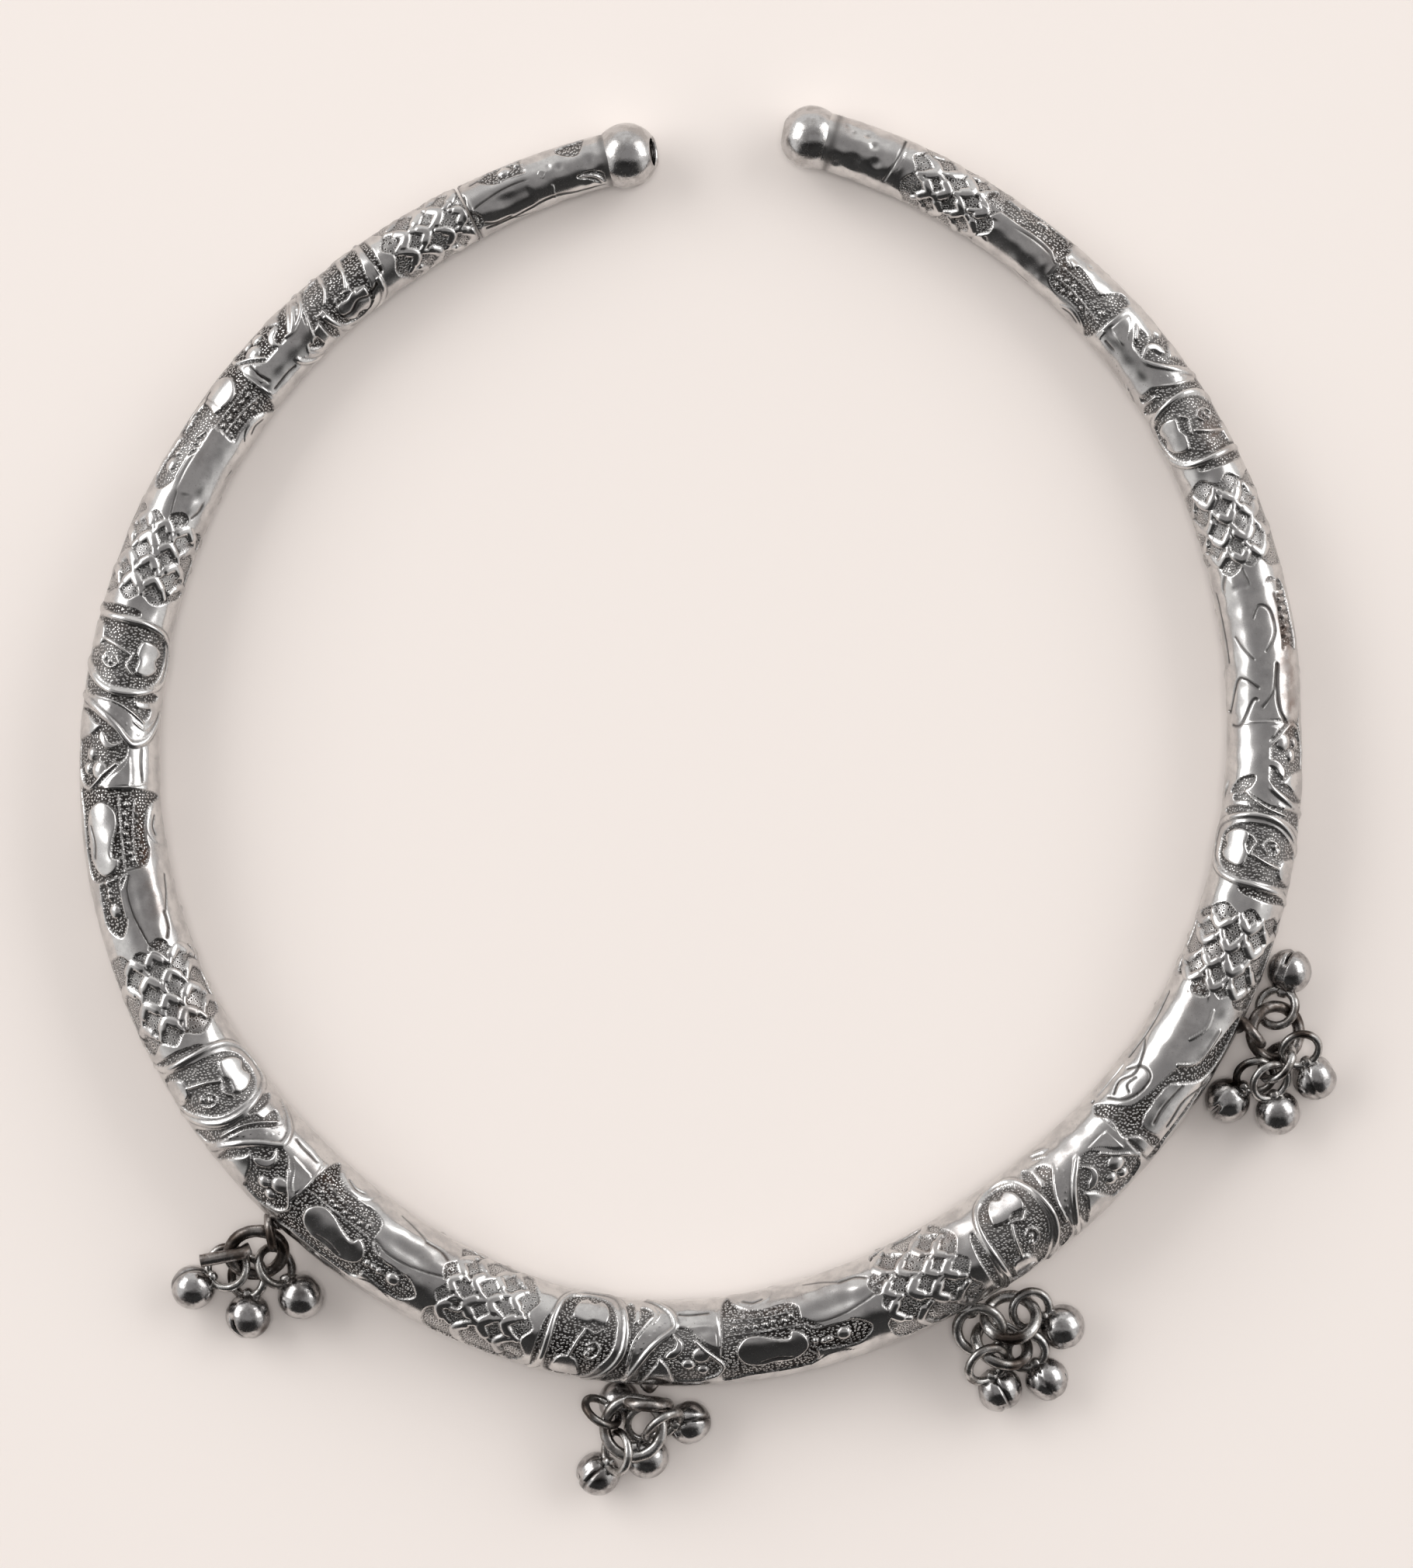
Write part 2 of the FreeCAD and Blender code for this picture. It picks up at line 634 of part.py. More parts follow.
def crossed_ring():
    """ring_1: the wire starts as a straight tail, crosses over itself and closes into the ring."""
    link = LINKS["ring_1"]
    circle = wire_circle(link, "ring_1_circle")
    radius = SIZES["tail_radius"]
    height = link.wire + radius - TAIL_SUNK
    start = in_ring(link, *TAIL_FROM, height)
    end = in_ring(link, *TAIL_TO, height)
    tail = add("Part::Cylinder", "ring_1_tail", Radius="Sizes.tail_radius")
    tail.Height = (end - start).Length
    tail.Placement = FreeCAD.Placement(start, FreeCAD.Rotation(V(0, 0, 1), end - start))
    return joined("Part::MultiFuse", "ring_1", [circle, tail])


def coiled_ring():
    """ring_2: a second turn of the same wire lies inside the ring along its lower side."""
    link = LINKS["ring_2"]
    circle = wire_circle(link, "ring_2_circle")
    arc = fixed("Part::Torus", "ring_2_inner_turn", Radius1=link.radius - COIL_STEP_IN,
                Radius2=SIZES["coil_radius"], Angle3=COIL_TURN_BY)
    start = outward(COIL_TURN_FROM)
    arm = in_ring(link, start.x, start.y, 0.0) - link.centre
    arc.Placement = FreeCAD.Placement(link.centre, turned(link.face, arm))
    return joined("Part::MultiFuse", "ring_2", [circle, arc])


def bell(row):
    """A hollow ball with a sound slit, and the wire loop that it hangs by."""
    name = row[0]
    slit_turn = row[-1]
    link = LINKS[name]
    shell = fixed("Part::Sphere", f"{name}_ball", Radius=link.ball)
    loop = wire_circle(link, f"{name}_loop")
    hollow = add("Part::Sphere", f"{name}_hollow", Radius=f"{name}_ball.Radius - Sizes.bell_wall * 1 mm")
    down = turned(link.arm * -1, link.face) * FreeCAD.Rotation(V(0, 0, 1), slit_turn)
    seam_aside = down * FreeCAD.Rotation(V(0, 0, 1), 90.0)
    for sphere in (shell, hollow):
        sphere.Placement = FreeCAD.Placement(link.ball_centre(), seam_aside)
    slit = add("Part::Box", f"{name}_slit", Width="Sizes.bell_slit_width")
    slit.Length = link.ball * 2 + 1.0
    slit.Height = link.ball + 0.5
    corner = V(-slit.Length.Value / 2, -SIZES["bell_slit_width"] / 2, 0.4)
    slit.Placement = FreeCAD.Placement(link.ball_centre() + down.multVec(corner), down)
    solid = joined("Part::MultiFuse", f"{name}_solid", [shell, loop])
    openings = joined("Part::MultiFuse", f"{name}_openings", [hollow, slit])
    return cut(name, solid, openings)


def plain_ring(row):
    return wire_circle(LINKS[row[0]], row[0])


def write(pieces):
    """Checks every object and writes one STEP file for each piece."""
    doc.recompute()
    faults = [thing.Name for thing in doc.Objects if "Invalid" in thing.State or "Error" in thing.State]
    faults += [piece.Name for piece in pieces if piece.Shape.isNull() or not piece.Shape.isValid()]
    if faults:
        raise RuntimeError(f"these objects failed: {faults}")
    os.makedirs("parts", exist_ok=True)
    for piece in pieces:
        piece.Label = piece.Name
        solids = len(piece.Shape.Solids)
        print(f"{piece.Name}: {solids} solid, {piece.Shape.Volume:.1f} cubic millimetres")
        piece.Shape.exportStep(f"parts/{piece.Name}.step")


PIECES = collar_pieces()
PIECES += [crossed_ring(), coiled_ring()]
PIECES += [plain_ring(row) for row in RINGS[2:]]
PIECES += [bell(row) for row in BELLS]
write(PIECES)
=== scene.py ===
# %% [markdown]
# # A struck silver neck collar
# A hasli is a rigid collar of hollow silver tube. The sheet was struck with a die before it was
# rolled and soldered, so one long ornament comes round again and again. Bells of thin sheet hang
# on heavy wire rings from its outer edge. The construction is loaded first. Its solids carry the
# sizes, and every piece made here sits on them.

# %% Load the construction
import math

import bmesh
import bpy
import numpy as np
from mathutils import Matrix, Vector


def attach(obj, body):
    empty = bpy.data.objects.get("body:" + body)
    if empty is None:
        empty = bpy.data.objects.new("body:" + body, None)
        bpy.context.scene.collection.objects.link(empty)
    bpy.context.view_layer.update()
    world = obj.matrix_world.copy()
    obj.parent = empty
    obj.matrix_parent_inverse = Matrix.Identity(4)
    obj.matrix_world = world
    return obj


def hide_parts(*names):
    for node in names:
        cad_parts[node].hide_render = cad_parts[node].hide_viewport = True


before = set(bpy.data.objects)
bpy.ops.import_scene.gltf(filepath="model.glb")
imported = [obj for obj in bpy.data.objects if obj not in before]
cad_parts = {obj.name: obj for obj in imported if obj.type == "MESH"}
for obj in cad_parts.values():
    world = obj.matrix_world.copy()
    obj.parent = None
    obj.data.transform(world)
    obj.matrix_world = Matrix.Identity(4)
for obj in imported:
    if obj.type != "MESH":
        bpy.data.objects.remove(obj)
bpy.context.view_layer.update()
MM = 0.001
PER_MM = 1000.0  # a pattern on coordinates in metres repeats this often for one step each millimetre
rng = np.random.default_rng(11)
print("construction:", len(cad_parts), "solids")

# %% [markdown]
# ## Helpers for materials
# A colour is written as the hex value that a colour picker shows, and one function turns it into
# the linear numbers that a shader wants. One more function adds any node with its settings and
# links, so a material below reads as a list of steps, one node after the other.

# %% Colour and nodes


def paint(code):
    """An sRGB hex colour as linear RGBA."""
    parts = [int(code[i:i + 2], 16) / 255 for i in (1, 3, 5)]
    return tuple(c / 12.92 if c <= 0.04045 else ((c + 0.055) / 1.055) ** 2.4 for c in parts) + (1.0,)


def node(tree, kind, inputs=None, **settings):
    """Adds a node. An input is a plain value, an output socket, or a node, whose first output is meant."""
    made = tree.nodes.new(kind)
    for name, value in settings.items():
        setattr(made, name, value)
    for name, value in (inputs or {}).items():
        if isinstance(value, bpy.types.Node):
            value = value.outputs[0]
        if isinstance(value, bpy.types.NodeSocket):
            tree.links.new(value, made.inputs[name])
        else:
            made.inputs[name].default_value = value
    return made


def new_material(name):
    """An empty material and its node tree."""
    material = bpy.data.materials.new(name)
    material.use_nodes = True
    material.node_tree.nodes.clear()
    return material, material.node_tree


print("white paint is", [round(c, 2) for c in paint("#ffffff")])

# %% [markdown]
# ## The centre line
# The tube is round everywhere, but it swells towards the front of the collar and was bent by hand,
# so it isn't a perfect circle. A short table of sections gives the angle, the reach from the middle,
# the half width and the height of the centre. A smooth curve is run through it.

# %% Sections of the tube
STATIONS = np.array([
    # angle, reach, half_width, rise
    (97.0, 72.2, 3.20, 4.00),
    (101.5, 71.7, 3.22, 3.95),
    (106.0, 71.2, 3.28, 3.88),
    (111.0, 70.7, 3.42, 3.84),
    (116.0, 70.3, 3.58, 3.88),
    (124.0, 69.9, 3.72, 3.98),
    (134.0, 69.7, 3.85, 4.10),
    (146.0, 69.6, 4.05, 4.30),
    (160.0, 69.9, 4.38, 4.63),
    (175.0, 70.4, 4.80, 5.05),
    (190.0, 71.2, 5.03, 5.28),
    (205.0, 71.9, 5.18, 5.43),
    (218.0, 72.4, 5.52, 5.77),
    (230.0, 72.8, 5.68, 5.93),
    (243.0, 73.4, 5.52, 5.77),
    (256.0, 74.0, 5.24, 5.49),
    (267.0, 73.8, 5.24, 5.49),
    (280.0, 72.7, 5.50, 5.75),
    (293.0, 71.3, 5.68, 5.93),
    (306.0, 70.4, 5.86, 6.11),
    (318.0, 70.0, 5.52, 5.77),
    (332.0, 69.8, 5.18, 5.43),
    (346.0, 69.5, 4.96, 5.21),
    (360.0, 69.4, 4.70, 4.95),
    (374.0, 69.9, 4.48, 4.73),
    (388.0, 70.8, 4.20, 4.45),
    (402.0, 71.9, 3.86, 4.11),
    (416.0, 72.9, 3.62, 3.92),
    (428.0, 74.1, 3.57, 3.88),
    (434.8, 74.8, 3.54, 3.88),
    (439.3, 75.2, 3.52, 3.92),
])


def smooth_through(x, xs, ys):
    """A smooth curve through a table: each stretch is a cubic with shared slopes."""
    slopes = np.gradient(ys, xs)
    i = np.clip(np.searchsorted(xs, x) - 1, 0, len(xs) - 2)
    width = xs[i + 1] - xs[i]
    t = (x - xs[i]) / width
    return ((2 * t**3 - 3 * t**2 + 1) * ys[i] + (t**3 - 2 * t**2 + t) * width * slopes[i]
            + (3 * t**2 - 2 * t**3) * ys[i + 1] + (t**3 - t**2) * width * slopes[i + 1])


fine_angle = np.linspace(STATIONS[0, 0], STATIONS[-1, 0], 4000)
fine_reach, fine_half, fine_rise = (smooth_through(fine_angle, STATIONS[:, 0], STATIONS[:, k])
                                    for k in (1, 2, 3))
fine_turn = np.radians(fine_angle)
fine_place = np.stack([fine_reach * np.cos(fine_turn), fine_reach * np.sin(fine_turn), fine_rise], 1)
fine_steps = np.linalg.norm(np.diff(fine_place[:, :2], axis=0), axis=1)
fine_along = np.concatenate([[0], np.cumsum(fine_steps)])
LENGTH = fine_along[-1]
fine_tangent = np.gradient(fine_place[:, :2], fine_along, axis=0)
fine_tangent /= np.linalg.norm(fine_tangent, axis=1)[:, None]


def line_at(along):
    """Centre, outward direction and half width at distances along the centre line, in mm."""
    centre = np.stack([np.interp(along, fine_along, fine_place[:, k]) for k in range(3)], -1)
    tangent = np.stack([np.interp(along, fine_along, fine_tangent[:, k]) for k in range(2)], -1)
    outward = np.stack([tangent[..., 1], -tangent[..., 0], np.zeros_like(tangent[..., 0])], -1)
    return centre, outward, np.interp(along, fine_along, fine_half)


print(f"centre line from ball to ball: {LENGTH:.0f} mm")

# %% [markdown]
# ## The die
# The long ornament came from one die, moved on by its own length after each blow. It is charted
# here once, on the flat: u runs along the tube and v across it as seen from above, both
# in millimetres. A few kinds of mark are enough. A ground is sunk and punched all over. A raised form
# stands up in it: an outline, a stroke along a line, or the pointed edge of a scale. A line is
# engraved. A bead is a small dome, and a swelling is a broad change of level.
# The chart is turned into a height map by measuring how far each point of a fine grid lies from
# each outline, which is how an embossing tool would be cut too.

# %% The chart of one repeat
GROUNDS = [
    # sunk grounds with fine punched grain: outline as (u, v)
    [(0.9, 5.2), (0.95, 1.0), (1.1, -1.5), (1.7, -3.2), (3.0, -4.2), (5.2, -4.5), (7.1, -4.0),
     (8.2, -2.4), (8.4, 0.1), (7.9, 2.2), (6.6, 3.8), (4.8, 5.2)],
    [(7.2, 5.4), (9.2, 5.0), (10.0, 3.6), (10.5, 1.0), (11.6, -1.0), (12.6, -2.4), (12.2, -3.4),
     (11.0, -3.6), (10.9, -2.0), (9.8, -1.4), (9.4, 0.2), (9.1, 2.3)],
    [(9.2, -1.3), (10.1, -1.3), (10.1, -3.8), (9.2, -4.4), (8.8, -3.0)],
    [(11.5, 5.2), (12.8, 4.3), (14.2, 4.8), (18.0, 5.0), (20.6, 4.4), (21.2, 3.2), (20.0, 2.0),
     (18.4, 0.2), (17.0, -1.2), (15.4, -1.2), (13.8, 0.4), (12.4, 2.2), (11.4, 3.8)],
    [(20.9, 4.9), (24.0, 4.7), (30.5, 4.7), (32.0, 3.9), (31.8, 1.5), (31.0, 0.3), (30.9, -0.2),
     (30.8, -2.2), (29.0, -2.9), (27.3, -2.7), (25.0, -2.8), (23.2, -3.6), (22.2, -4.7), (21.5, -4.0),
     (21.2, -2.4), (21.1, -0.5)],
    [(30.9, 0.4), (31.8, 1.6), (32.0, 3.4), (33.6, 3.7), (36.8, 4.0), (38.4, 3.4), (38.8, 2.5),
     (37.0, 1.3), (34.0, 1.3), (32.6, 0.6), (31.4, -0.3)],
    [(41.0, -0.4), (41.9, -0.9), (42.4, -2.0), (41.0, -2.7), (40.2, -1.8)],
    [(53.9, 5.2), (54.7, 4.8), (54.9, 0.0), (54.6, -1.4), (54.0, -0.6), (53.7, 2.4)],
]
RINGED = [
    # sunk ground punched with small rings, under the scales
    [(40.6, 3.6), (41.6, 5.4), (46.0, 5.6), (50.6, 5.4), (52.6, 4.4), (51.8, 2.8), (52.8, 1.2), (51.9, -0.4),
     (52.8, -2.2), (51.9, -3.8), (50.4, -5.2), (45.0, -5.4), (41.8, -5.0), (41.9, -3.4), (40.8, -2.0),
     (41.6, -0.4), (40.9, 1.2), (41.6, 2.4)],
]
SCALES = [
    # tips of the overlapping leaves, and how large each is
    (41.9, 2.6, 1.00), (41.9, -0.4, 0.95), (41.8, -3.3, 1.05), (44.3, 4.3, 1.00), (44.5, 1.1, 1.10),
    (44.5, -1.9, 0.95), (44.2, -4.5, 0.90), (47.0, 2.7, 1.10), (47.1, -0.4, 1.00), (46.8, -3.3, 1.00),
    (49.3, 4.3, 0.95), (49.6, 1.2, 1.05), (49.5, -1.9, 1.00), (49.2, -4.6, 0.80),
]
RAISED = [
    # rise above the plain metal, then an outline
    (0.10, [(1.3, 5.2), (1.5, 3.9), (2.2, 3.3), (3.4, 3.3), (4.1, 3.8), (4.3, 5.2)]),
    (0.20, [(2.6, -1.5), (4.2, -1.1), (5.2, -1.4), (6.6, -1.2), (7.1, -2.0), (6.9, -3.1), (6.0, -3.8),
            (4.9, -3.5), (4.0, -3.9), (3.0, -3.4), (2.5, -2.4)]),
    (0.10, [(11.9, 5.2), (12.4, 3.9), (13.2, 2.9), (13.5, 2.1), (14.3, 2.7), (14.9, 3.6), (15.3, 5.2)]),
    (0.15, [(14.0, 2.2), (15.0, 2.4), (16.1, 1.7), (16.4, 0.7), (15.9, -0.2), (15.1, -0.8), (15.5, 0.3),
            (15.2, 1.1), (14.5, 1.5)]),
    (0.12, [(17.0, -1.6), (18.4, -0.5), (19.6, 1.1), (20.7, 1.5), (20.8, -0.6), (20.4, -1.6)]),
    (0.18, [(22.6, 2.0), (23.3, 3.4), (25.0, 3.9), (27.0, 3.8), (29.2, 3.9), (31.0, 3.2), (31.4, 2.2),
            (30.8, 1.1), (29.6, 0.6), (29.1, 1.4), (27.5, 1.1), (25.6, 0.4), (23.8, 0.5)]),
    (0.10, [(22.5, -5.2), (23.6, -3.7), (25.4, -3.0), (27.0, -3.1), (28.2, -3.9), (28.0, -5.2)]),
    (0.05, [(30.6, 5.2), (32.2, 4.3), (33.8, 3.9), (35.6, 4.2), (37.6, 5.2)]),
]
STROKES = [
    # rise, width, then a line
    (0.25, 0.95, [(-0.6, 5.4), (0.3, 4.2), (0.45, 1.0), (0.55, -1.5), (1.2, -3.5), (2.8, -4.7), (5.2, -5.1),
                  (7.4, -4.6), (8.7, -2.6), (9.05, 0.2), (8.5, 2.5), (7.0, 4.3), (5.2, 5.6)]),
    (0.10, 0.50, [(3.0, 3.4), (3.6, 1.5), (4.4, -0.3)]),
    (0.08, 0.40, [(4.2, -0.7), (5.1, -0.4), (5.9, -0.1), (6.7, -0.8)]),
    (0.06, 0.35, [(4.9, 1.5), (5.7, 1.0), (6.4, 1.6), (6.2, 2.5), (5.4, 3.0), (4.8, 2.6)]),
    (0.12, 0.45, [(9.9, 3.3), (10.4, 0.8), (11.4, -1.2), (12.7, -2.8)]),
    (0.25, 0.95, [(9.6, 5.4), (10.5, 3.9), (11.9, 1.9), (13.4, 0.2), (14.8, -1.0), (15.5, -1.9), (14.9, -3.4),
                  (13.2, -4.5), (11.6, -5.1)]),
    (0.10, 0.40, [(12.9, -2.0), (13.6, -3.2), (12.6, -4.1), (11.3, -4.6)]),
    (0.12, 0.55, [(18.9, 4.8), (20.3, 4.4), (21.0, 3.5), (20.3, 2.6), (19.2, 1.6), (18.0, 0.2)]),
    (0.12, 0.40, [(20.95, 1.2), (21.0, -0.6), (20.9, -1.9), (20.6, -3.2)]),
    (0.02, 0.22, [(22.0, -0.2), (25.0, -0.15), (28.0, -0.05), (30.6, 0.1)]),
    (0.02, 0.22, [(22.3, -2.0), (24.5, -1.7), (27.5, -1.5), (30.4, -1.6)]),
    (0.06, 0.30, [(31.5, 0.2), (32.4, 1.1), (34.4, 1.25), (36.6, 1.4)]),
]
LINES = [
    # engraved lines: depth, width, then a line
    (0.10, 0.20, [(31.1, -0.3), (31.0, -1.9)]),
    (0.10, 0.24, [(31.6, -0.3), (33.4, 0.35), (36.0, 0.4), (38.6, 0.0), (40.6, -0.4)]),
    (0.12, 0.30, [(40.3, -2.7), (39.0, -3.2), (37.0, -3.2)]),
    (0.06, 0.18, [(37.0, -3.3), (34.5, -4.0), (32.5, -4.3)]),
    (0.08, 0.18, [(24.3, -3.9), (25.6, -3.6), (26.8, -3.8)]),
    (0.10, 0.22, [(16.0, -2.9), (17.5, -2.8), (20.0, -2.9)]),
    (0.08, 0.20, [(25.4, 3.3), (27.2, 3.1), (29.0, 3.4)]),
    (0.10, 0.24, [(50.0, 5.0), (51.2, 4.6), (52.3, 4.9)]),
]
BEADS = [
    # rise, radius, then where
    (0.16, 0.78, [(16.9, 3.2)]),
    (0.16, 1.08, [(18.5, 2.2)]),
    (0.16, 0.70, [(18.5, 3.7)]),
    (0.10, 0.40, [(27.4, 3.9), (32.0, 2.6), (32.9, 2.65), (33.8, 2.6)]),
    (0.14, 0.85, [(35.5, 2.7)]),
    (0.10, 0.33, [(22.9, -1.0), (24.1, -0.95), (25.3, -0.85), (26.5, -0.8), (27.7, -0.85), (28.9, -0.9),
                  (29.9, -1.2)]),
    (0.04, 0.24, [(23.0, -2.1), (24.0, -2.25), (25.1, -2.2), (26.2, -2.1), (27.3, -2.15), (28.4, -2.3),
                  (29.5, -2.2)]),
    (0.05, 0.30, [(10.5, 2.7), (10.9, 1.9), (11.3, 1.1), (11.8, 0.4), (12.3, -0.3), (12.9, -0.9),
                  (13.5, -1.6), (14.1, -2.2), (13.3, -2.9), (14.3, -3.0)]),
    (0.08, 0.38, [(5.1, 2.6), (5.6, 2.1)]),
]
SWELLS = [
    # broad hollows and swellings of the sheet: amount, (u, v), length and width
    (-0.30, (35.8, -1.0), 4.2, 1.0),
    (0.16, (39.2, -1.7), 1.3, 0.9),
    (0.12, (34.5, -3.0), 4.5, 0.9),
    (-0.14, (18.6, -0.9), 1.5, 0.7),
    (-0.20, (53.0, -1.2), 1.6, 1.4),
    (0.10, (17.5, -3.6), 2.2, 0.9),
]
CHART = (GROUNDS, RINGED, SCALES, RAISED, STROKES, LINES, BEADS, SWELLS)
print("charted forms:", sum(map(len, CHART)))

# %% [markdown]
# ## From the chart to a height map
# The whole top of the collar is one long flat sheet, and the underside another. Each is a grid a
# tenth of a millimetre fine. Every form of the chart is stamped on it once for each repeat, a little
# shifted and turned, because the blows never fell quite alike. Four layers come out: the level of
# the metal, the two kinds of punched ground, and the engraved lines.

# %% The flat sheet and how a form is measured on it
GRID = 0.1
OVERHANG = 5.0
HALF_SHEET = 8.6
SHEET_ALONG = np.arange(-OVERHANG, LENGTH + OVERHANG, GRID)
SHEET_AROUND = np.arange(-HALF_SHEET, HALF_SHEET, GRID)
GROUND_DEPTH = 0.27
GROUND_SLOPE = 0.22
STEEPNESS = 0.30
MARGIN = 0.6


def flattened(points):
    """Points as seen from above, moved to where they lie on the unrolled sheet."""
    found = np.array(points, float)
    found[:, 1] += 0.012 * found[:, 1] ** 3
    return found


def rounded(points, closed):
    """A smooth line through charted points."""
    first, last = (points[-1:], points[:2]) if closed else (points[:1], points[-1:])
    p = np.vstack([first, points, last])
    t = np.linspace(0, 1, 6, endpoint=False)[None, :, None]
    a, b, c, d = (p[i:len(p) - 3 + i][:, None, :] for i in range(4))
    line = 0.5 * (2 * b + (c - a) * t + (2 * a - 5 * b + 4 * c - d) * t**2
                  + (3 * b - a - 3 * c + d) * t**3)
    return np.vstack([line.reshape(-1, 2), p[-2:-1]])


def window(line, margin):
    """The part of the sheet round a line, as two slices and its coordinates."""
    low, high = line.min(0) - margin, line.max(0) + margin
    i = slice(*np.clip(np.searchsorted(SHEET_ALONG, (low[0], high[0])), 0, len(SHEET_ALONG)))
    j = slice(*np.clip(np.searchsorted(SHEET_AROUND, (low[1], high[1])), 0, len(SHEET_AROUND)))
    return i, j, SHEET_ALONG[i][:, None], SHEET_AROUND[j][None, :]


def distance(line, along, around):
    """How far each point lies from a line, and whether it lies inside it as an outline."""
    nearest = np.full(np.broadcast(along, around).shape, 1e9)
    inside = np.zeros(nearest.shape, bool)
    for (ax, ay), (bx, by) in zip(line[:-1], line[1:]):
        dx, dy = bx - ax, by - ay
        share = np.clip(((along - ax) * dx + (around - ay) * dy) / (dx * dx + dy * dy + 1e-12), 0, 1)
        nearest = np.minimum(nearest, (along - ax - share * dx) ** 2 + (around - ay - share * dy) ** 2)
        crosses = (ay > around) != (by > around)
        inside ^= crosses & (along < ax + dx * (around - ay) / (dy if abs(dy) > 1e-12 else 1e-12))
    return np.sqrt(nearest), inside


def ease(x):
    """A soft step from 0 to 1."""
    x = np.clip(x, 0, 1)
    return x * x * (3 - 2 * x)


def shoulder(depth_inside, radius):
    """The rounded rise of a raised form from its edge to its crown."""
    return np.sqrt(1 - (1 - np.clip(depth_inside / radius, 0, 1)) ** 2)


print("sheet:", len(SHEET_ALONG), "by", len(SHEET_AROUND), "points")

# %% [markdown]
# ## Striking the sheet
# On the real collar one blow of a hammer drives the sheet into the die and makes a whole repeat at
# once. Here a blow places the charted forms one by one. Grounds go down first, then what stands up
# in them, then the lines and beads on top, because each later form clears the ground under it.

# %% One blow of the die


class Sheet:
    """One side of the collar as a flat sheet, with its layers."""

    def __init__(self):
        shape = (len(SHEET_ALONG), len(SHEET_AROUND))
        self.level = np.zeros(shape)
        self.grain = np.zeros(shape)
        self.rings = np.zeros(shape)
        self.line = np.zeros(shape)

    def sink(self, outline, layer):
        """A punched ground, lower than the plain metal."""
        i, j, along, around = window(outline, MARGIN)
        far, inside = distance(outline, along, around)
        depth = ease(np.where(inside, far, -far) / GROUND_SLOPE + 0.3)
        self.level[i, j] = np.minimum(self.level[i, j], -GROUND_DEPTH * depth)
        layer[i, j] = np.maximum(layer[i, j], depth)

    def clear(self, i, j, signed):
        """Takes punched ground off where a form stands."""
        keep = 1 - ease((signed + 0.05) / 0.16)
        self.grain[i, j] *= keep
        self.rings[i, j] *= keep

    def lift(self, signed, i, j, rise, radius):
        """Metal that stands up where signed, the depth inside a form, is above zero."""
        top = -GROUND_DEPTH + (GROUND_DEPTH + rise) * shoulder(signed, radius)
        self.level[i, j] = np.where(signed > 0, np.maximum(self.level[i, j], top), self.level[i, j])
        self.clear(i, j, signed)

    def raise_outline(self, rise, outline):
        """A raised form with a flat crown."""
        i, j, along, around = window(outline, MARGIN)
        far, inside = distance(outline, along, around)
        self.lift(np.where(inside, far, -far), i, j, rise, STEEPNESS)

    def raise_stroke(self, rise, width, line):
        """A raised, rounded stroke."""
        i, j, along, around = window(line, MARGIN + width)
        far, _ = distance(line, along, around)
        self.lift(width / 2 - far, i, j, rise, width / 2)

    def engrave(self, depth, width, line):
        """A narrow engraved line."""
        i, j, along, around = window(line, MARGIN + width)
        far, _ = distance(line, along, around)
        mark = np.exp(-(far / (0.65 * width)) ** 2)
        self.level[i, j] -= depth * mark
        self.line[i, j] = np.maximum(self.line[i, j], mark)

    def swell(self, amount, middle, length, width):
        """A broad swelling, or a hollow where the amount is below zero."""
        i, j, along, around = window(np.array([middle]), 2 * max(length, width))
        u, v = (along - middle[0]) / length, (around - middle[1]) / width
        self.level[i, j] += amount * np.exp(-u ** 2 - v ** 2)


def strike(sheet, start, across, stretch, force, looseness):
    """One blow of the die; looseness says how far its forms stray from the chart."""
    def placed(points, closed=False):
        """A charted form where this blow puts it, a little turned, grown and shifted."""
        found = flattened(points)
        middle = found.mean(0)
        turn = rng.normal(0, STRAY_TURN) * looseness
        grow = 1 + rng.normal(0, STRAY_GROWTH) * looseness
        spin = np.array([[math.cos(turn), math.sin(turn)], [-math.sin(turn), math.cos(turn)]]) * grow
        found = (found - middle) @ spin + middle + rng.normal(0, STRAY_SHIFT, 2) * looseness
        found = found * (stretch, 1.0) + (start, across)
        return rounded(found, closed) if len(found) > 1 else found

    for outline in GROUNDS:
        sheet.sink(placed(outline, True), sheet.grain)
    for outline in RINGED:
        sheet.sink(placed(outline, True), sheet.rings)
    for rise, outline in RAISED:
        sheet.raise_outline(rise * force, placed(outline, True))
    for rise, width, line in STROKES:
        sheet.raise_stroke(rise * force, width, placed(line))
    for u, v, size in SCALES:
        u += rng.normal(0, STRAY_SCALE)
        v += rng.normal(0, STRAY_SCALE)
        leaf = np.array(LEAF) * size + (u, v)
        sheet.raise_stroke(0.08 * force, 0.85 * size, placed(leaf))
        sheet.raise_stroke(0.16 * force, 1.35 * size, placed(leaf[1:4]))
    for depth, width, line in LINES:
        sheet.engrave(depth * force, width, placed(line))
    for rise, radius, places in BEADS:
        for place in places:
            middle = placed([place])[0]
            sheet.raise_stroke(rise * force, 2 * radius, np.array([middle, middle + (0.02, 0.0)]))
    for amount, middle, length, width in SWELLS:
        sheet.swell(amount * force, placed([middle])[0], length, width)


# How far a form strays from blow to blow: radians, share, mm, and mm for the tip of a scale.
STRAY_TURN, STRAY_GROWTH, STRAY_SHIFT, STRAY_SCALE = 0.03, 0.03, 0.10, 0.12
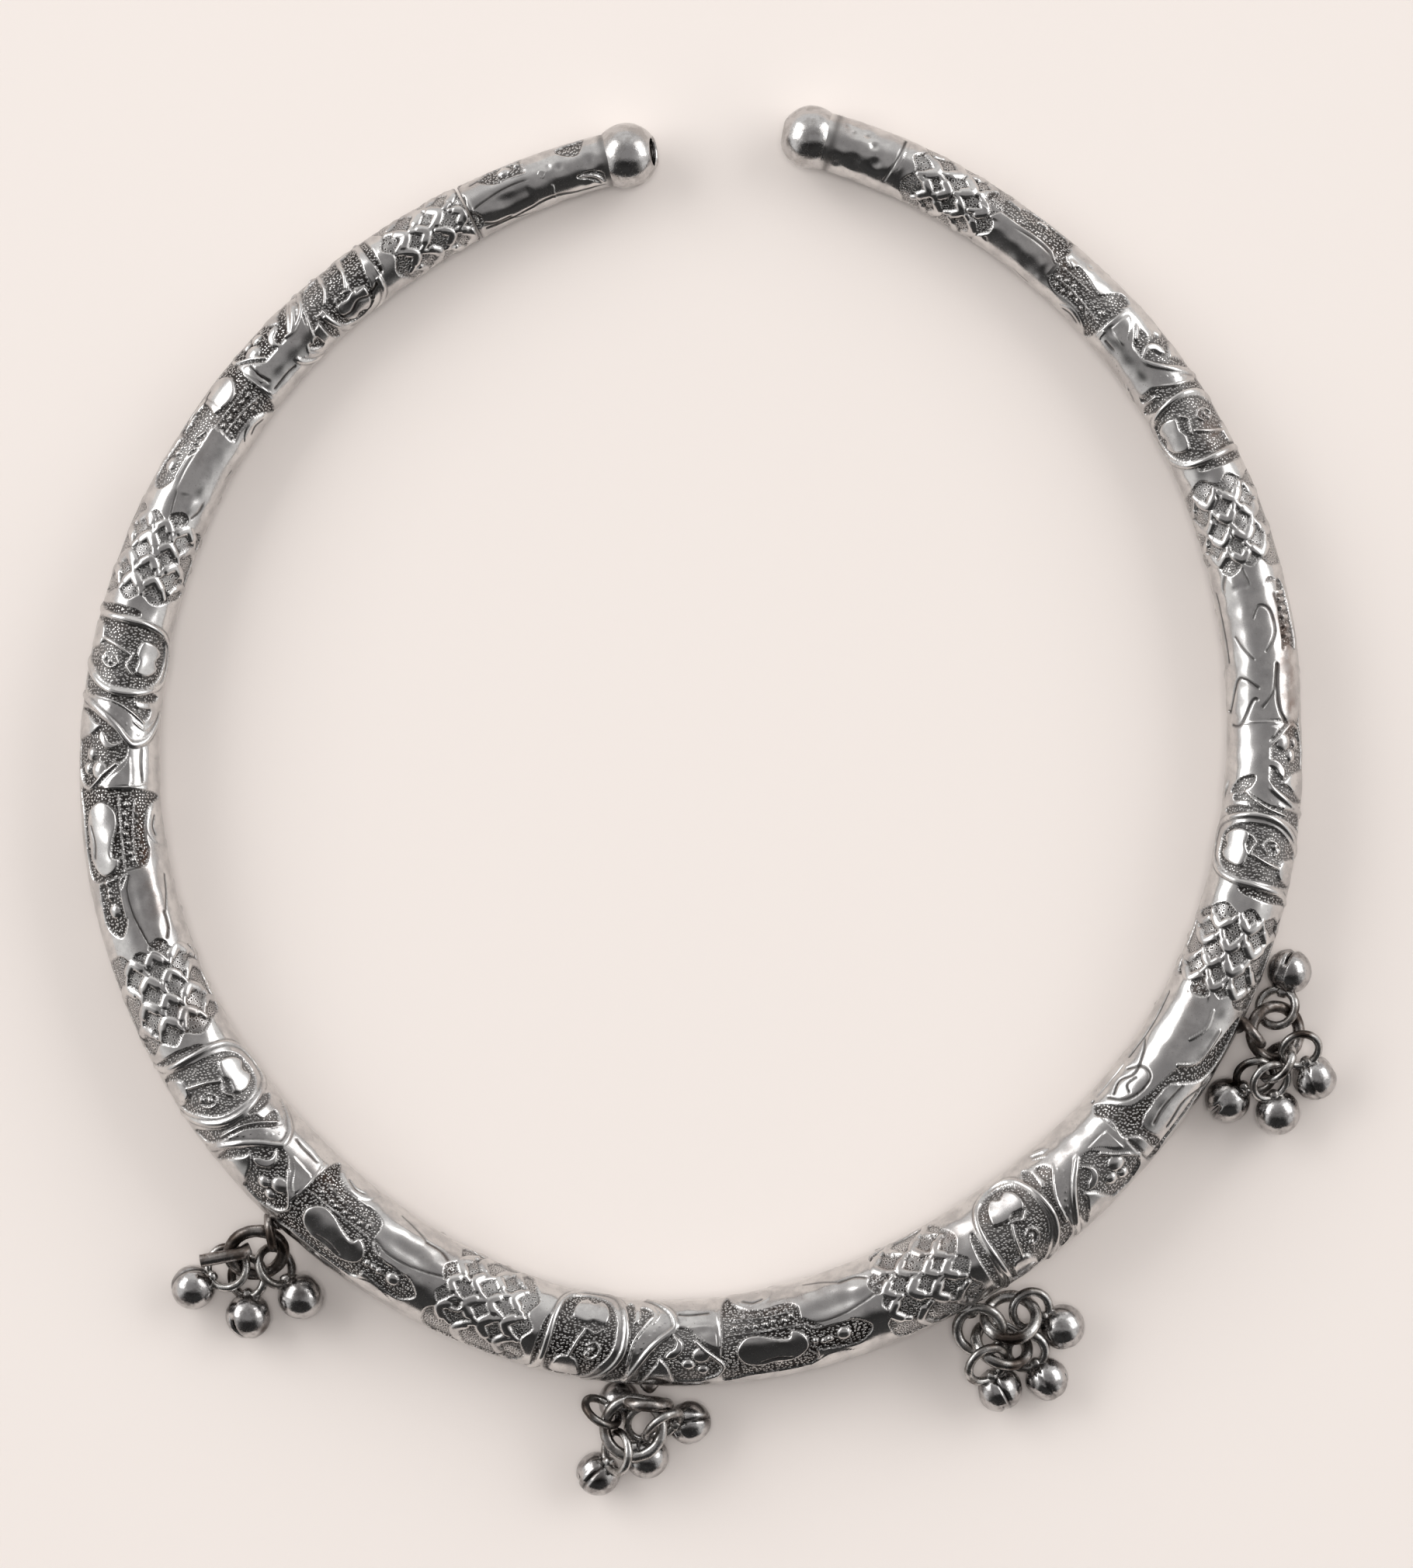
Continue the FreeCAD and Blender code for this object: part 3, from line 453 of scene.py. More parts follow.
# The edge of a scale, from one side round its tip to the other.
LEAF = [(1.75, 1.38), (0.8, 0.85), (0.1, 0.0), (0.8, -0.85), (1.75, -1.38)]
BLOWS = [
    # where the blow starts along the tube, how far it slid across, and how hard it was
    (-20.6, 0.3, 0.80),
    (33.9, 0.5, 0.80),
    (86.7, 0.0, 1.00),
    (141.6, -0.6, 0.95),
    (197.5, -0.8, 0.90),
    (253.0, 0.0, 1.00),
    (308.8, -0.2, 0.95),
    (361.8, 0.4, 0.80),
    (416.0, 0.0, 0.60),
]
DIE_LENGTH = 54.8
UNDERSIDE_SHIFT = -17.0
sheets = {"top": Sheet(), "underside": Sheet()}
for number, (start, across, force) in enumerate(BLOWS):
    following = BLOWS[number + 1][0] if number + 1 < len(BLOWS) else start + DIE_LENGTH
    stretch = (following - start) / DIE_LENGTH
    strike(sheets["top"], start, across, stretch, force, 1.0)
    strike(sheets["underside"], start + UNDERSIDE_SHIFT, -across, stretch, force * 0.8, 1.5)
print("struck:", len(BLOWS), "blows, deepest", round(float(sheets["top"].level.min()), 2), "mm")

# %% [markdown]
# ## One-off marks
# Some places differ from the repeat: the short end piece carries only a few loose forms and pits,
# slanting bars follow the first ridge, a long punched band lies near the right end, and the last
# stretch before each ball is beaten with pits. They are charted straight on the long sheet, with the
# same tools as the die, after what they replace has been smoothed away.

# %% Marks that don't repeat
WORN = [
    # places where the die left nothing: from, to, and across from, to
    (44.2, 54.0, -2.6, 0.9), (61.0, 71.0, -5.0, 1.4), (274.2, 294.6, -6.0, 6.0), (328.8, 346.6, -6.0, 6.0),
    (320.0, 329.6, -6.0, 0.8), (378.0, 393.0, 1.5, 6.0), (372.5, 380.5, -5.0, 0.0), (393.0, 402.0, -5.0, 0.9),
    (265.5, 274.5, -6.0, -1.4), (217.5, 219.0, -6.0, -1.0), (-1.0, 13.0, -6.0, 6.0),
    (414.5, 430.0, -6.0, 6.0),
]
EXTRA_GROUNDS = [
    # sunk and punched, as outlines
    [(274.7, 0.8), (276.0, 2.2), (276.2, 4.4), (277.4, 4.0), (277.2, 1.6), (280.0, 0.9), (283.0, 1.2),
     (284.2, 2.6), (285.8, 4.1), (289.0, 4.7), (294.0, 4.3), (290.5, 3.4), (287.2, 2.8), (285.6, 1.0),
     (283.0, 0.2), (280.0, -0.4), (278.0, -1.2), (276.5, -3.2), (275.2, -4.2), (274.4, -3.4), (275.2, -2.0),
     (274.9, -0.6)],
    [(337.7, 4.3), (340.0, 4.4), (344.2, 4.2), (346.2, 3.4), (343.0, 2.7), (338.6, 2.6), (338.3, 3.4)],
    [(321.0, -2.0), (322.6, -1.4), (322.0, -3.2), (320.2, -4.0)],
    [(4.6, 3.4), (6.0, 3.5), (8.2, 3.0), (7.4, 1.8), (5.6, 1.4)],
    [(3.2, -1.6), (4.8, -1.0), (6.6, -1.3), (5.0, -2.2), (3.4, -3.0)],
    [(34.6, 3.6), (36.4, 3.6), (37.0, 0.2), (35.4, -0.2)],
    [(37.6, 3.6), (39.4, 3.4), (40.6, 0.6), (38.6, 0.2)],
    [(40.4, 3.6), (42.4, 3.4), (43.6, 0.4), (41.8, 0.2)],
    [(59.8, 3.4), (62.0, 3.7), (65.8, 3.2), (62.4, 1.4), (60.6, 1.2)],
    [(392.5, 2.9), (396.0, 3.2), (400.0, 2.9), (403.5, 3.3), (404.0, 1.6), (400.0, 1.1), (396.0, 1.3),
     (392.9, 1.2)],
    [(383.0, 2.9), (384.6, 3.2), (386.4, 0.8), (389.0, 0.2), (388.4, -1.2), (385.2, -0.4), (383.6, 1.2)],
]
EXTRA_STROKES = [
    # rise, width, then a line
    (0.16, 0.60, [(285.6, 0.6), (286.6, 2.0), (288.4, 2.7), (291.6, 2.9)]),
    (0.12, 0.60, [(289.0, 0.2), (291.2, 1.3), (293.4, 1.0)]),
    (0.16, 0.55, [(37.2, 3.8), (37.4, 1.8), (38.3, 0.2)]),
    (0.16, 0.55, [(40.0, 3.8), (40.3, 1.8), (41.4, 0.4)]),
    (0.16, 0.65, [(43.0, 3.8), (44.0, 1.8), (46.2, 0.6), (47.6, 0.7)]),
    (0.14, 0.50, [(3.4, -3.0), (4.2, -1.9), (6.0, -1.4)]),
    (0.10, 0.45, [(9.8, -1.3), (10.0, -3.6)]),
    (0.12, 0.60, [(185.2, 1.8), (186.6, 1.6), (186.9, 0.4), (185.7, 0.1), (184.9, 0.9), (185.2, 1.8)]),
    (0.05, 0.35, [(10.0, 0.5), (10.6, 0.9), (11.0, 0.4), (10.5, 0.0), (10.0, 0.5)]),
]
EXTRA_LINES = [
    # depth, width, then a line
    (0.14, 0.26, [(277.2, -3.6), (278.4, -2.0), (280.6, -1.2), (282.6, -1.4), (283.0, -2.8), (281.6, -3.9)]),
    (0.12, 0.24, [(278.0, -3.4), (279.8, -3.8), (281.8, -3.0), (284.6, -3.6), (286.0, -4.2)]),
    (0.10, 0.22, [(279.4, -2.2), (280.0, -2.9), (281.4, -2.6)]),
    (0.12, 0.26, [(279.0, 3.9), (282.6, 3.7), (285.4, 4.8)]),
    (0.10, 0.24, [(278.3, 2.4), (280.6, 2.1), (283.8, 2.5)]),
    (0.12, 0.24, [(283.0, -4.6), (288.0, -4.4), (293.0, -4.7)]),
    (0.14, 0.30, [(329.2, 2.4), (330.6, 1.6), (333.0, 1.3), (336.0, 1.6)]),
    (0.12, 0.24, [(328.9, -4.2), (329.0, -3.2), (331.8, -1.8), (332.0, -1.2)]),
    (0.12, 0.24, [(333.4, -1.0), (334.6, -2.4), (334.4, -3.4), (330.6, -4.4)]),
    (0.10, 0.22, [(337.0, -1.2), (338.6, -2.4), (340.0, -3.0)]),
    (0.12, 0.26, [(337.0, -4.2), (341.0, -4.3), (346.0, -4.4)]),
    (0.16, 0.34, [(34.9, -1.7), (36.4, -2.3), (38.0, -1.9), (39.6, -2.5), (41.2, -2.1)]),
    (0.10, 0.26, [(53.0, 1.5), (53.2, 0.1), (53.1, -1.4)]),
    (0.14, 0.26, [(54.6, -0.4), (56.4, -0.7), (58.6, -0.5), (60.0, -0.8)]),
    (0.12, 0.22, [(60.6, -0.8), (61.0, -2.0)]),
    (0.12, 0.22, [(61.3, -0.7), (61.7, -1.9)]),
    (0.12, 0.24, [(3.4, -3.3), (7.0, -3.2), (10.2, -2.6), (16.0, -3.2), (19.4, -3.0)]),
    (0.16, 0.30, [(338.0, 2.6), (341.0, 3.0), (344.4, 2.6)]),
    (0.12, 0.24, [(337.8, 0.4), (340.0, 1.8), (342.6, 1.6), (343.4, 0.4), (342.0, -0.6)]),
    (0.12, 0.26, [(331.0, -0.6), (333.0, 0.9), (336.2, 1.5)]),
    (0.12, 0.24, [(415.8, 3.4), (415.9, 0.5), (416.4, -2.5)]),
    (0.10, 0.20, [(15.0, 3.2), (19.0, 2.9)]),
]
SHORT_BARS = (339.4, 340.5, 341.6, 342.7, 343.7, 344.5)
PITS = [
    # round marks of a blunt punch: where, depth and radius
    ((8.3, 0.5), 0.14, 0.55), ((9.6, 1.1), 0.10, 0.45),
    ((4.4, 0.2), 0.16, 0.75), ((3.2, 1.2), 0.12, 0.6),
    ((5.4, -2.0), 0.10, 0.6), ((419.0, 1.0), 0.16, 0.55),
    ((420.2, 2.1), 0.20, 0.60), ((421.8, 1.9), 0.20, 0.65),
    ((422.9, 2.4), 0.16, 0.5), ((418.2, -0.9), 0.16, 0.7),
    ((421.0, -1.6), 0.14, 0.8), ((423.0, -2.4), 0.14, 0.6),
    ((371.6, -1.3), 0.20, 0.45), ((389.3, 2.8), 0.08, 0.4),
    ((382.0, -0.9), 0.14, 0.6), ((346.0, -0.6), 0.08, 0.4),
]
top = sheets["top"]
for start, end, low, high in WORN:
    i, j, along, around = window(np.array([(start, low), (end, high)]), 0.5)
    gone = (ease((along - start) / 1.0) * ease((end - along) / 1.0)
            * ease((around - low) / 0.7) * ease((high - around) / 0.7))
    for layer in (top.level, top.grain, top.rings, top.line):
        layer[i, j] *= 1 - gone
for outline in EXTRA_GROUNDS:
    top.sink(rounded(flattened(outline), True), top.grain)
for rise, width, line in EXTRA_STROKES:
    top.raise_stroke(rise, width, rounded(flattened(line), False))
for along in SHORT_BARS:
    top.raise_stroke(0.10, 0.62, flattened([(along, 3.7), (along + 0.1, 3.1)]))
for depth, width, line in EXTRA_LINES:
    top.engrave(depth, width, rounded(flattened(line), False))
for middle, depth, radius in PITS:
    top.swell(-depth, flattened([middle])[0], radius, radius)
print("marks that don't repeat:", sum(map(len, (EXTRA_GROUNDS, EXTRA_STROKES, EXTRA_LINES, PITS))))

# %% [markdown]
# ## Where oxide stays
# Hands and cloth rub the high metal bright, and the sulphide of silver stays in the hollows. So the
# dark is worked out from the height map itself: a place is dark where it lies lower than its
# neighbourhood. The engraved lines are added, since they are narrower than the neighbourhood.

# %% Softening the sheet and finding its hollows


def blurred(layer, steps):
    """Averages a layer over a square."""
    for axis in (0, 1):
        edges = [(steps + 1, steps) if k == axis else (0, 0) for k in (0, 1)]
        total = np.cumsum(np.pad(layer, edges, mode="edge"), axis)
        size = layer.shape[axis]
        high = np.take(total, np.arange(size) + 2 * steps + 1, axis)
        low = np.take(total, np.arange(size), axis)
        layer = (high - low) / (2 * steps + 1)
    return layer


for side in sheets.values():
    side.level = 0.7 * side.level + 0.3 * blurred(side.level, 1)
    hollow = blurred(side.level, 4) - side.level
    side.oxide = np.clip(ease((hollow - 0.010) / 0.075) + 1.3 * side.line, 0, 1)
    print("share of dark hollows:", round(float((side.oxide > 0.5).mean()), 2))

# %% [markdown]
# ## The struck tube
# The tube follows the centre line, round at each section. Each point is pushed in or out by the
# height map, by a few dents, and by the slow unevenness that hand work leaves, which is what makes
# the long highlights waver. It is written straight as a mesh, because the height map needs its own
# point for each sixth of a millimetre. It is parted at the seam, where the short end piece is
# pushed in, and then at every eighty millimetres or so to keep each mesh a fair size.

# %% Surface of the tube
SEAM_AT = float(np.interp(113.5, fine_angle, fine_along))
SEAM_GAP = 0.3
FINE_STEP = 0.165
HIGHEST = 0.25


def slow_wave(along, around, seed, size):
    """Smooth unevenness: a few waves that cross."""
    waves = np.random.default_rng(seed)
    total = 0.0
    for _ in range(6):
        heading = waves.uniform(0, math.pi)
        pitch = size * waves.uniform(0.7, 1.6)
        phase = waves.uniform(0, 2 * math.pi)
        reach = along * math.cos(heading) + around * math.sin(heading)
        total = total + np.sin(2 * math.pi / pitch * reach + phase)
    return total / 6


DENTS = [
    # along, around, depth, length, width
    (128.0, 1.0, 0.30, 7.0, 3.5),
    (96.0, -4.5, 0.20, 5.0, 3.0),
    (161.0, 0.5, 0.30, 4.5, 3.5),
    (216.0, 1.5, 0.25, 9.0, 4.0),
    (251.0, -2.0, 0.22, 4.0, 3.0),
    (290.0, 0.0, 0.22, 6.0, 3.0),
    (331.0, -0.5, 0.30, 5.0, 3.0),
    (329.0, 5.5, 0.35, 7.0, 3.0),
    (360.0, -3.0, 0.15, 6.0, 2.5),
    (388.0, 1.0, 0.18, 7.0, 3.0),
    (47.0, -3.0, 0.15, 5.0, 2.0),
    (68.0, 1.0, 0.15, 6.0, 2.5),
]


def read_sheet(layer, along, around):
    """Reads a layer of the flat sheet between its grid points."""
    x = np.clip((along - SHEET_ALONG[0]) / GRID, 0, len(SHEET_ALONG) - 1.001)
    y = np.clip((around - SHEET_AROUND[0]) / GRID, 0, len(SHEET_AROUND) - 1.001)
    i, j = x.astype(int), y.astype(int)
    u, v = x - i, y - j
    return ((1 - u) * (1 - v) * layer[i, j] + u * (1 - v) * layer[i + 1, j]
            + (1 - u) * v * layer[i, j + 1] + u * v * layer[i + 1, j + 1])


def surface(along, turn):
    """Where the metal is at a distance along and a turn from the top, with its layers."""
    centre, outward, half = line_at(along)
    around = turn * half
    under = np.abs(turn) > math.pi / 2
    below = around - np.sign(turn) * math.pi * half
    layers = {}
    for name in ("level", "grain", "rings", "oxide"):
        underside = read_sheet(getattr(sheets["underside"], name), along, below)
        layers[name] = np.where(under, underside, read_sheet(getattr(sheets["top"], name), along, around))
    to_join = np.abs(np.abs(turn) - math.pi / 2) * half
    plain_ends = ease((along - 2.0) / 3.0) * ease((LENGTH - 2.0 - along) / 3.0)
    shown = ease(to_join / 0.8 + 0.25) * plain_ends
    for name in layers:
        layers[name] = layers[name] * shown
    rough = 0.07 * slow_wave(along, around, 5, 9.0) + 0.05 * slow_wave(along, around, 6, 3.2)
    for at, where, depth, length, width in DENTS:
        rough = rough - depth * np.exp(-((along - at) / length) ** 2 - ((around - where) / width) ** 2)
    lips = sum(np.exp(-((along - SEAM_AT - s * 0.45) / 0.3) ** 2) for s in (-1, 1))
    height = np.minimum(layers["level"] + rough + 0.10 * lips, HIGHEST)
    height = height - 0.12 * np.exp(-((np.abs(along - SEAM_AT) - SEAM_GAP / 2) / 0.09) ** 2)
    normal = np.sin(turn)[..., None] * outward + np.cos(turn)[..., None] * np.array([0.0, 0.0, 1.0])
    return centre + (half + height)[..., None] * normal, normal, around, layers


# The turn goes once round: fine over the top, coarser underneath.
FINE_TO = 1.72
TOP_TURNS = np.linspace(-FINE_TO, FINE_TO, 108)
UNDER_TURNS = np.linspace(FINE_TO, 2 * math.pi - FINE_TO, 38)[1:-1]
UNDER_TURNS = np.where(UNDER_TURNS > math.pi, UNDER_TURNS - 2 * math.pi, UNDER_TURNS)
TURNS = np.concatenate([TOP_TURNS, UNDER_TURNS])
print("points round the tube:", len(TURNS))

# %% [markdown]
# ## Stains and the mesh itself
# Tarnish isn't only in the hollows: brown patches lie where a hand seldom reaches, and dark dirt
# sits at the seam, at both balls and round the soldered eyes. These are short tables too, and go
# into the mesh as numbers at its points, where the metal's material picks them up.

# %% The tube as a mesh
STAINS = [
    # brown tarnish: along, across, length, width, amount
    (337.0, 3.2, 7.0, 1.4, 0.9), (329.5, 3.4, 3.5, 1.2, 0.5), (248.0, -3.4, 9.0, 1.6, 0.5),
    (228.0, -3.8, 8.0, 1.0, 0.35), (121.0, -2.7, 5.0, 1.0, 0.55), (115.0, -2.9, 4.0, 0.9, 0.35),
    (266.0, -3.2, 6.0, 1.4, 0.35), (365.0, 2.6, 3.0, 1.5, 0.5), (393.0, 0.5, 5.0, 1.2, 0.3),
    (160.5, -3.0, 5.0, 1.5, 0.3), (136.5, -2.4, 2.0, 1.6, 0.4), (292.0, -2.0, 6.0, 1.5, 0.25),
    (64.5, 0.4, 5.0, 1.0, 0.25), (182.0, -3.5, 4.0, 1.5, 0.35), (12.0, -2.2, 6.0, 1.2, 0.2),
    (422.5, 2.2, 2.0, 1.5, 0.3),
]
EYE_SPOTS = [(162.5, 5.4), (203.5, 5.4), (249.0, 5.4), (295.0, 5.2)]
BALL_JOINTS = (2.6, LENGTH - 2.6)


def build_mesh(name, points, loops, layers=None, normals=None, flat_map=None):
    """A mesh from points and quads, with its layers as point attributes."""
    mesh = bpy.data.meshes.new(name)
    mesh.vertices.add(len(points))
    mesh.vertices.foreach_set("co", (np.asarray(points, np.float32) * MM).ravel())
    mesh.loops.add(loops.size)
    mesh.loops.foreach_set("vertex_index", loops.astype(np.int32).ravel())
    mesh.polygons.add(len(loops))
    mesh.polygons.foreach_set("loop_start", np.arange(0, loops.size, loops.shape[1], dtype=np.int32))
    mesh.update(calc_edges=True)
    mesh.polygons.foreach_set("use_smooth", np.ones(len(loops), bool))
    for layer, values in (layers or {}).items():
        place = mesh.attributes.new(layer, "FLOAT", "POINT")
        place.data.foreach_set("value", values.astype(np.float32).ravel())
    if flat_map is not None:
        uv = mesh.uv_layers.new(name="sheet")
        uv.data.foreach_set("uv", flat_map[loops.ravel()].astype(np.float32).ravel())
    if normals is not None:
        mesh.normals_split_custom_set_from_vertices(normals)
    mesh.validate()
    piece = bpy.data.objects.new(name, mesh)
    bpy.context.collection.objects.link(piece)
    return piece


def grid_quads(columns, rows):
    """Quads of a grid of points whose rows each close into a ring."""
    i, j = np.meshgrid(np.arange(columns - 1), np.arange(rows), indexing="ij")
    k = (j + 1) % rows
    return np.stack([i * rows + j, (i + 1) * rows + j, (i + 1) * rows + k, i * rows + k], -1).reshape(-1, 4)


def tube_piece(name, start, end, lip_start=False, lip_end=False):
    """A stretch of the struck tube. A lip turns the metal inwards where the real tube ends."""
    along = np.linspace(start, end, max(2, round((end - start) / FINE_STEP)))
    s, t = np.meshgrid(along, TURNS, indexing="ij")
    points, outward, around, layers = surface(s, t)
    ahead = surface(s + 0.05, t)[0] - surface(s - 0.05, t)[0]
    beside = surface(s, t + 0.01)[0] - surface(s, t - 0.01)[0]
    normals = np.cross(beside, ahead)
    normals /= np.linalg.norm(normals, axis=-1)[..., None]
    normals *= np.sign((normals * outward).sum(-1))[..., None]
    stain = sum(amount * np.exp(-((s - at) / length) ** 2 - ((around - across) / width) ** 2)
                for at, across, length, width, amount in STAINS)
    stain = stain * (0.75 + 0.5 * slow_wave(s, around, 9, 1.8)) + 0.10 * ease(slow_wave(s, around, 3, 14.0))
    layers["tarnish"] = np.clip(stain, 0, 1)
    dirt = 0.45 * sum(np.exp(-((s - at) / 2.4) ** 2 - ((around - across) / 1.8) ** 2)
                      for at, across in EYE_SPOTS)
    dirt = dirt + np.exp(-((s - SEAM_AT) / 0.30) ** 2)
    dirt = dirt + 0.7 * sum(np.exp(-((s - at) / 0.5) ** 2) for at in BALL_JOINTS)
    layers["oxide"] = np.clip(layers["oxide"] + dirt, 0, 1)
    flat = np.stack([s, around], -1)
    rings = [(points, normals, layers, flat)]
    for wanted, at in ((lip_start, 0), (lip_end, -1)):
        if wanted:
            centre = line_at(along[at])[0]
            inner = centre + (points[at] - centre) * LIP_REACH
            tangent = (points[1] - points[0]).mean(0) if at == 0 else (points[-1] - points[-2]).mean(0)
            face = np.tile(-tangent if at == 0 else tangent, (len(TURNS), 1))
            face = face / np.linalg.norm(face, axis=1)[:, None]
            ring = (inner[None], face[None], {k: v[at][None] for k, v in layers.items()}, flat[at][None])
            rings.insert(0 if at == 0 else len(rings), ring)
    points, normals, flat = (np.concatenate([r[k] for r in rings]) for k in (0, 1, 3))
    layers = {k: np.concatenate([r[2][k] for r in rings]) for k in layers}
    quads = grid_quads(len(points), len(TURNS))[:, ::-1]
    return build_mesh(name, points.reshape(-1, 3), quads, layers, normals.reshape(-1, 3), flat.reshape(-1, 2))


# At the seam the metal turns in to this share of its radius; the other cuts can't be seen.
LIP_REACH = 0.84
CUTS = [SEAM_AT + SEAM_GAP / 2, 104.0, 188.0, 268.0, 348.0, LENGTH]
skin = [tube_piece("end_skin", 0.0, SEAM_AT - SEAM_GAP / 2, lip_end=True)]
for number, (start, end) in enumerate(zip(CUTS, CUTS[1:]), start=1):
    skin.append(tube_piece(f"tube_skin_{number}", start, end, lip_start=number == 1))
print("tube pieces:", [(p.name, 2 * len(p.data.polygons)) for p in skin])

# %% [markdown]
# ## The two ball ends
# Each end is closed by a ball of two soldered cups. The left one is open on its free side, and the
# dark inside shows. A lathe is the way to make them: a short profile is turned round the tube's own
# axis. The profile of the open ball goes on inwards round the lip and along the inner wall.

# %% Turned ball ends


def smooth_noise(points, seed, size):
    """Unevenness in space, for things that aren't laid out on the sheet."""
    waves = np.random.default_rng(seed)
    total = 0.0
    for _ in range(7):
        heading = waves.normal(size=3)
        heading /= np.linalg.norm(heading) * size * waves.uniform(0.7, 1.5)
        total = total + np.sin(2 * math.pi * (points @ heading) + waves.uniform(0, 2 * math.pi))
    return total / 7


UP = np.array([0.0, 0.0, 1.0])


def turned_ball(name, station, free_side, tip_up, profile, seed):
    """A lathed ball end; the profile is (distance along the axis, distance from it) in mm."""
    turn = math.radians(station[0])
    outward = np.array([math.cos(turn), math.sin(turn), 0.0])
    level = np.array([-math.sin(turn), math.cos(turn), 0.0]) * free_side
    axis = level * math.cos(tip_up) + UP * math.sin(tip_up)
    centre = outward * station[1] + UP * station[3]
    spin = np.linspace(0, 2 * math.pi, 96, endpoint=False)
    across = np.cos(spin)[:, None] * outward + np.sin(spin)[:, None] * np.cross(axis, outward)
    profile = np.array(profile)
    points = centre + profile[:, None, :1] * axis + profile[:, None, 1:] * across[None]
    points = points + (points - centre) * (0.012 * smooth_noise(points, seed, 3.5))[..., None]
    points[..., 2] = np.maximum(points[..., 2], 0.0)
    quads = grid_quads(len(profile), len(spin))
    ball = build_mesh(name, points.reshape(-1, 3), quads)
    tidy = bmesh.new()
    tidy.from_mesh(ball.data)
    bmesh.ops.remove_doubles(tidy, verts=tidy.verts, dist=1e-7)
    bmesh.ops.recalc_face_normals(tidy, faces=tidy.faces)
    tidy.to_mesh(ball.data)
    tidy.free()
    return ball


def arc(radius, start, end, steps):
    """Part of a ball's outline, from one angle to another measured from the free side."""
    angles = np.radians(np.linspace(start, end, steps))
    return [(radius * math.cos(a), radius * math.sin(a)) for a in angles]


LEFT, RIGHT = STATIONS[0], STATIONS[-1]
open_outline = (arc(3.35, 180, 34, 40) + [(3.0, 1.75), (3.25, 1.68), (3.45, 1.78), (3.52, 1.98)]
                + arc(4.0, 32, 180, 60))
closed_outline = [(3.68, 0.0), (3.68, 0.5), (3.66, 0.95)] + arc(3.9, 20, 180, 66)
left_ball = turned_ball("left_ball", LEFT, -1, math.radians(14), open_outline, 21)
right_ball = turned_ball("right_ball", RIGHT, 1, 0.0, closed_outline, 22)
print("balls:", [len(b.data.polygons) for b in (left_ball, right_ball)])

# %% [markdown]
# ## Bent wire
# Rings, loops and eyes are all round wire, bent with pliers and soldered, so none is a true circle
# and the wire is a little thicker where solder ran. Geometry Nodes suit that: one tree takes any
# line, wavers it with noise, and sweeps a round section along it. Each wire is the same tree with
# its own radius and seed.

# %% A tree that makes wire


def wire_tree():
    """The tree, with named inputs for the wire's sizes."""
    tree = bpy.data.node_groups.new("bent wire", "GeometryNodeTree")
    face = tree.interface
    face.new_socket("Line", in_out="INPUT", socket_type="NodeSocketGeometry")
    for label in ("Wire radius", "Waver", "Lumps", "Seed"):
        face.new_socket(label, in_out="INPUT", socket_type="NodeSocketFloat")
    face.new_socket("Metal", in_out="INPUT", socket_type="NodeSocketMaterial")
    face.new_socket("Wire", in_out="OUTPUT", socket_type="NodeSocketGeometry")
    source = node(tree, "NodeGroupInput")
    place = node(tree, "GeometryNodeInputPosition")
    # the bend: a push aside that changes about every 4 mm
    bends = node(tree, "ShaderNodeTexNoise", {"Vector": place, "W": source.outputs["Seed"],
                 "Scale": 0.26 * PER_MM, "Detail": 1.0}, noise_dimensions="4D")
    centred = node(tree, "ShaderNodeVectorMath", {0: bends.outputs["Color"], 1: (0.5, 0.5, 0.5)},
                   operation="SUBTRACT")
    shift = node(tree, "ShaderNodeVectorMath", {0: centred, "Scale": source.outputs["Waver"]},
                 operation="SCALE")
    moved = node(tree, "GeometryNodeSetPosition", {"Geometry": source.outputs["Line"], "Offset": shift})
    # the thickness: swellings about a millimetre long
    lumps = node(tree, "ShaderNodeTexNoise", {"Vector": place, "W": source.outputs["Seed"],
                 "Scale": 0.9 * PER_MM, "Detail": 2.0}, noise_dimensions="4D")
    thick = node(tree, "ShaderNodeMath", {0: lumps, 1: 0.5}, operation="SUBTRACT")
    swollen = node(tree, "ShaderNodeMath", {0: thick, 1: source.outputs["Lumps"], 2: 1.0},
                   operation="MULTIPLY_ADD")
    radius = node(tree, "ShaderNodeMath", {0: swollen, 1: source.outputs["Wire radius"]},
                  operation="MULTIPLY")
    sized = node(tree, "GeometryNodeSetCurveRadius", {"Curve": moved, "Radius": radius})
    section = node(tree, "GeometryNodeCurvePrimitiveCircle", {"Resolution": 14, "Radius": 1.0})
    swept = node(tree, "GeometryNodeCurveToMesh", {"Curve": sized, "Profile Curve": section,
                 "Scale": radius, "Fill Caps": True})
    real = node(tree, "GeometryNodeRealizeInstances", {"Geometry": swept})
    metal = node(tree, "GeometryNodeSetMaterial", {"Geometry": real, "Material": source.outputs["Metal"]})
    node(tree, "NodeGroupOutput", {"Wire": metal})
    return tree


WIRE = wire_tree()
WIRE_INPUTS = {item.name: item.identifier for item in WIRE.interface.items_tree if item.in_out == "INPUT"}


